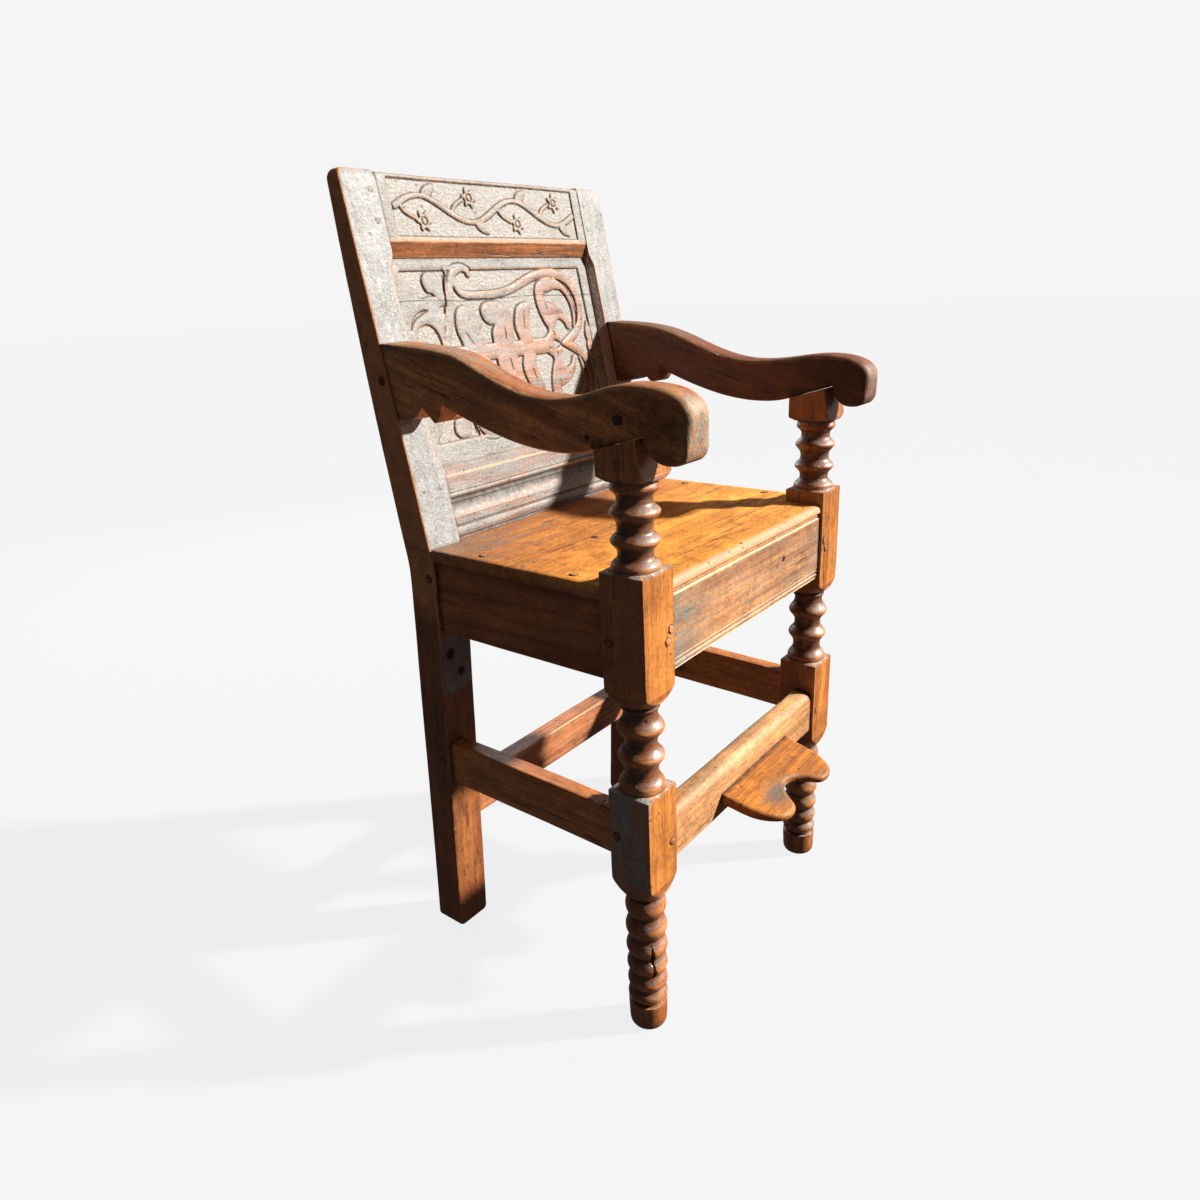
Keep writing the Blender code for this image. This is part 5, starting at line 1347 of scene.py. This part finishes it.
@layer("Vector Pale Brown", "Colour Height")
def dry_skin(vector, pale, brown):
    """Leathery oak with no wax left: a fine crackle of pale islands and darker pits, clouded with brown. On the
    front posts the same colour also stands for a painted highlight and a painted sky reflection.
    """
    islands, _ = vector.cells(330.0)
    pits = vector.noise(300.0, 4.0, 0.7)
    streaks, clouds = vector.noise((14.0, 120.0, 120.0), 4.0, 0.6, 0.2), vector.noise(17.0, 4.0, 0.6)
    tone = streaks * 0.32 + clouds * 0.28 + pits * 0.60
    return brown.tint(tone.remap(0.44, 0.72), pale), pits * 1.1 - islands * 0.9


@layer("Vector", "Mask")
def knocks(vector):
    """Sparse small dents: the near parts of scattered cells, only in some of them."""
    gap, colour = vector.cells(70.0)
    some = give(colour.tree, "SeparateColor", Color=colour).remap(0.66, 0.70)
    return [gap.remap(0.20, 0.06) * some]


@layer("Vector Centre Radius", "Mask")
def knot_hole(vector, centre, radius):
    """One knot or hole: a mask round a point, with an uneven rim."""
    node = line_up(vector.tree, put(vector.tree, "VectorMath", {"operation": 'DISTANCE'}), vector, centre)
    uneven = vector.noise(260.0, 2.0) * 0.8 + 0.6
    return [Value(vector.tree, node.outputs["Value"]).calc('DIVIDE', radius * uneven).remap(1.15, 0.70)]


print("layers:", [group.name for group in bpy.data.node_groups])

# %% [markdown]
# ## The finishes
# One function stacks the layers into a finish. The grain follows the length of a member, so each finish turns the
# grain along Z for posts, along Y for arms and side rails, or along X for seat, rails and panel. What differs beside
# that is the colour of the wood, how much wax is left, and where single knots and holes sit. The two arms are one
# oak in two copies: a lighter one, painted light on the near arm's shaded side, and a darker one, painted shade on
# the far arm.

# %% Colours and painted numbers
GRAIN_TURNS = {"x": (0.0, 0.0, 0.0), "y": (0.0, 0.0, -math.pi / 2), "z": (0.0, math.pi / 2, 0.0),
               "arm": (-0.28, 0.0, -math.pi / 2)}
WAX_AND_SHADE_COLOUR, GRIME_AND_SHADE_COLOUR, HOLE_COLOUR = (0.175, 0.036, 0.011), (0.016, 0.008, 0.0045), (0.006, 0.003, 0.002)
SUNK_COLOUR, PUNCH_COLOUR = (0.345, 0.332, 0.310), (0.15, 0.122, 0.096)
DRY_AND_SHEEN_GREY = ((0.276, 0.284, 0.282), (0.100, 0.090, 0.080))
WAX_AND_SHADE_SHARE, CHECK_SHARE, WEAR_AND_LIGHT_SHARE, SUNK_SHARE, GRIME_AND_SHADE_SHARE, KNOCK_SHARE = 0.72, 0.70, 0.80, 0.42, 0.88, 0.60
SKIN_RISE, GRAIN_RISE, TOOL_RISE = 1.2, 0.55, 3.2
CHECK_DEPTH, PUNCH_DEPTH, KNOCK_DEPTH, HOLE_DEPTH = 2.0, 2.6, 1.5, 4.0


def use(tree, group, **inputs):
    """Place a group in a material, and give its outputs by name."""
    outputs = put(tree, "Group", {"node_tree": group}, **inputs).outputs
    return {socket.name: Value(tree, socket) for socket in outputs}


def painted(tree, mark):
    """One of the numbers painted on the piece."""
    return give(tree, "Attribute", {"attribute_name": mark}, "Fac")


print("ways of the grain:", list(GRAIN_TURNS))

# %% Stack of layers
def oak_finish(name, along, pale, dark, worn_and_lit_wood, dry=DRY_AND_SHEEN_GREY, smooth=0.40, holes=(), stipple=False, turned=False,
               clouds=0.45, mottle=0.65):
    """Grain, then darkened wax, dry skin, worn edges, grime and holes, each laid over the last by its mask; where
    the pieces paint them, the same masks also lay painted shade, painted highlights, a painted sky reflection and
    painted light.
    """
    finish = bpy.data.materials.new(name)
    finish.use_nodes = True
    tree = finish.node_tree
    place = give(tree, "TexCoord", output="Object")
    grain_way = give(tree, "Mapping", Vector=place, Rotation=GRAIN_TURNS[along])
    waxed = painted(tree, "waxed")
    grain = use(tree, oak_grain, Vector=grain_way, Pale=pale, Dark=dark, Pores=0.55)
    wax = use(tree, old_wax, Vector=place)
    skin = use(tree, dry_skin, Vector=grain_way, Pale=dry[0], Brown=dry[1])
    knock = use(tree, knocks, Vector=place)["Mask"]
    wear = use(tree, wear_and_painted_light, Vector=place, Worn=painted(tree, "worn"))["Mask"]
    grime_and_shade_mask = use(tree, grime_and_painted_shade, Vector=place, Grimy=painted(tree, "grimy"))["Mask"]
    ragged = (grain_way.noise((11.0, 75.0, 75.0), 5.0, 0.65, 0.3) - 0.5) * 1.5 + (wax["Specks"] - 0.5) * 0.30
    bare = (ragged + painted(tree, "dry")).remap(0.22, 0.78)

    # Where the pieces paint them, the wax, dry, wear and grime layers below also lay painted shade, painted
    # highlights, a painted sky reflection and painted light.
    colour = grain["Colour"].tint(wax["Clouds"] * clouds, [0.55 * share for share in dark])
    colour = colour.tint(waxed * WAX_AND_SHADE_SHARE, WAX_AND_SHADE_COLOUR).tint(mottle, wax["Mottle"], 'MULTIPLY')
    colour = colour.tint(grain["Checks"] * CHECK_SHARE, GRIME_AND_SHADE_COLOUR).tint(bare, skin["Colour"])
    colour = colour.tint(wear * WEAR_AND_LIGHT_SHARE, worn_and_lit_wood)
    height = skin["Height"] * bare * SKIN_RISE + grain["Height"] * GRAIN_RISE - grain["Checks"] * CHECK_DEPTH
    if stipple:
        ground, (punch, _) = painted(tree, "ground"), place.cells(300.0)
        colour = colour.tint(ground * SUNK_SHARE, SUNK_COLOUR)
        colour = colour.tint(ground * punch.remap(0.30, 0.65, 0.0, 0.50), PUNCH_COLOUR)
        height = height - ground * punch * PUNCH_DEPTH
    if turned:
        tool = place.noise((45.0, 45.0, 520.0), 3.0, 0.6)
        height = height + tool * waxed * TOOL_RISE
    colour = colour.tint(grime_and_shade_mask * GRIME_AND_SHADE_SHARE, GRIME_AND_SHADE_COLOUR).tint(knock * KNOCK_SHARE, GRIME_AND_SHADE_COLOUR)
    height = height - knock * KNOCK_DEPTH
    for centre, radius in holes:
        hole = use(tree, knot_hole, Vector=place, Centre=centre, Radius=radius)["Mask"]
        colour, height = colour.tint(hole, HOLE_COLOUR), height - hole * HOLE_DEPTH

    rough = grime_and_shade_mask * 0.25 + wax["Specks"] * 0.14 + wear * 0.16 + bare * 0.16 + waxed * 0.04
    if turned:
        streaky = waxed * tool.remap(0.42, 0.60, 0.08, 1.0)
        coat = {"Coat_Weight": streaky.calc('ADD', 0.06, clamp=True), "Coat_Roughness": 0.30, "Coat_IOR": 1.65}
    else:
        rough = rough + give(tree, "LayerWeight", output="Facing").calc('POWER', 3.0) * 0.75
        coat = {"Coat_Weight": 0.08, "Coat_Roughness": 0.48}
    fill(tree, tree.nodes["Principled BSDF"], Base_Color=colour, Specular_IOR_Level=0.42,
         Roughness=rough.calc('ADD', smooth - 0.06, clamp=True),
         Normal=give(tree, "Bump", Strength=0.35, Distance=0.0009, Height=height), **coat)
    return finish


print("dry oak, where a finish names no other:", DRY_AND_SHEEN_GREY)

# %% Finishes for each kind of piece
def on_stile(x, z):
    """Point on the face of a back post."""
    return x, FACE_Y + stile_front(z), z


FINISHES = (  # name, way of the grain, pale and dark grain, worn and lit wood, what else differs, pieces
    ("turned_oak", "z", (0.55, 0.208, 0.044), (0.30, 0.098, 0.022), (0.66, 0.27, 0.095), {"turned": True}, posts),
    ("stile_oak", "z", (0.36, 0.135, 0.040), (0.19, 0.064, 0.020), (0.62, 0.29, 0.12),
     {"holes": [(on_stile(-0.213, 0.418), 0.008), (on_stile(-0.197, 0.389), 0.006)]}, stiles),
    ("side_oak", "y", (0.46, 0.155, 0.042), (0.20, 0.060, 0.018), (0.52, 0.23, 0.08), {"smooth": 0.42}, side_rails),
    ("tie_oak", "y", (0.76, 0.305, 0.080), (0.40, 0.140, 0.040), (0.70, 0.34, 0.13), {"smooth": 0.42},
     side_stretchers),
    # The near arm's copy is lighter, painted light on its shaded side; the far arm's copy is darker, painted shade.
    ("arm_oak", "arm", (0.84, 0.330, 0.100), (0.38, 0.130, 0.040), (0.48, 0.280, 0.130),
     {"smooth": 0.42, "dry": ((0.285, 0.242, 0.180), (0.096, 0.074, 0.050)),
      "holes": [((-0.228, FACE_Y + 0.063, 0.702), 0.003)]}, arms[1:]),
    ("far_arm_shaded_oak", "arm", (0.16, 0.043, 0.010), (0.060, 0.015, 0.004), (0.36, 0.200, 0.095),
     {"smooth": 0.42, "dry": ((0.200, 0.160, 0.115), (0.075, 0.054, 0.036))}, arms[:1]),
    ("rail_oak", "x", (0.50, 0.240, 0.100), (0.25, 0.105, 0.040), (0.60, 0.40, 0.24),
     {"smooth": 0.44, "mottle": 0.9, "dry": ((0.215, 0.180, 0.140), (0.090, 0.066, 0.045)),
      "holes": [((0.075, FACE_Y + 0.004, 0.509), 0.0042)]}, [front_rail]),
    ("stretcher_oak", "x", (0.68, 0.330, 0.125), (0.32, 0.138, 0.045), (0.56, 0.34, 0.14),
     {"smooth": 0.58, "mottle": 0.9, "dry": ((0.36, 0.245, 0.115), (0.16, 0.095, 0.042))}, [front_stretcher]),
    ("foot_oak", "x", (0.54, 0.183, 0.015), (0.255, 0.080, 0.009), (0.40, 0.20, 0.09),
     {"smooth": 0.55, "mottle": 0.95, "dry": ((0.150, 0.118, 0.090), (0.060, 0.042, 0.030))}, [board]),
    ("seat_oak", "x", (0.88, 0.360, 0.044), (0.53, 0.188, 0.023), (0.40, 0.255, 0.150),
     {"smooth": 0.48, "clouds": 0.4, "mottle": 1.0, "dry": ((0.270, 0.150, 0.090), (0.120, 0.060, 0.033)),
      "holes": [((-0.089, FACE_Y + 0.172, SEAT_TOP), 0.005), ((-0.026, FACE_Y + 0.009, SEAT_TOP), 0.002)]}, [seat]),
    ("carved_oak", "x", (0.36, 0.128, 0.036), (0.13, 0.038, 0.011), (0.47, 0.265, 0.140),
     {"smooth": 0.42, "mottle": 0.9, "dry": ((0.252, 0.249, 0.238), (0.090, 0.080, 0.069)), "stipple": True},
     [panel, crest, lower_rail]),
    ("peg_wood", "x", (0.50, 0.195, 0.060), (0.26, 0.090, 0.030), (0.42, 0.20, 0.08), {"smooth": 0.45}, pegs),
    ("back_oak", "x", (0.52, 0.200, 0.082), (0.26, 0.092, 0.037), (0.56, 0.28, 0.12), {"smooth": 0.44},
     [back_rail, back_stretcher]))
for name, along, pale, dark, worn_and_lit_wood, others, pieces in FINISHES:
    finish = oak_finish(name, along, pale, dark, worn_and_lit_wood, **others)
    for piece in pieces:
        piece.data.materials.append(finish)
print("finishes:", {row[0]: len(row[-1]) for row in FINISHES})
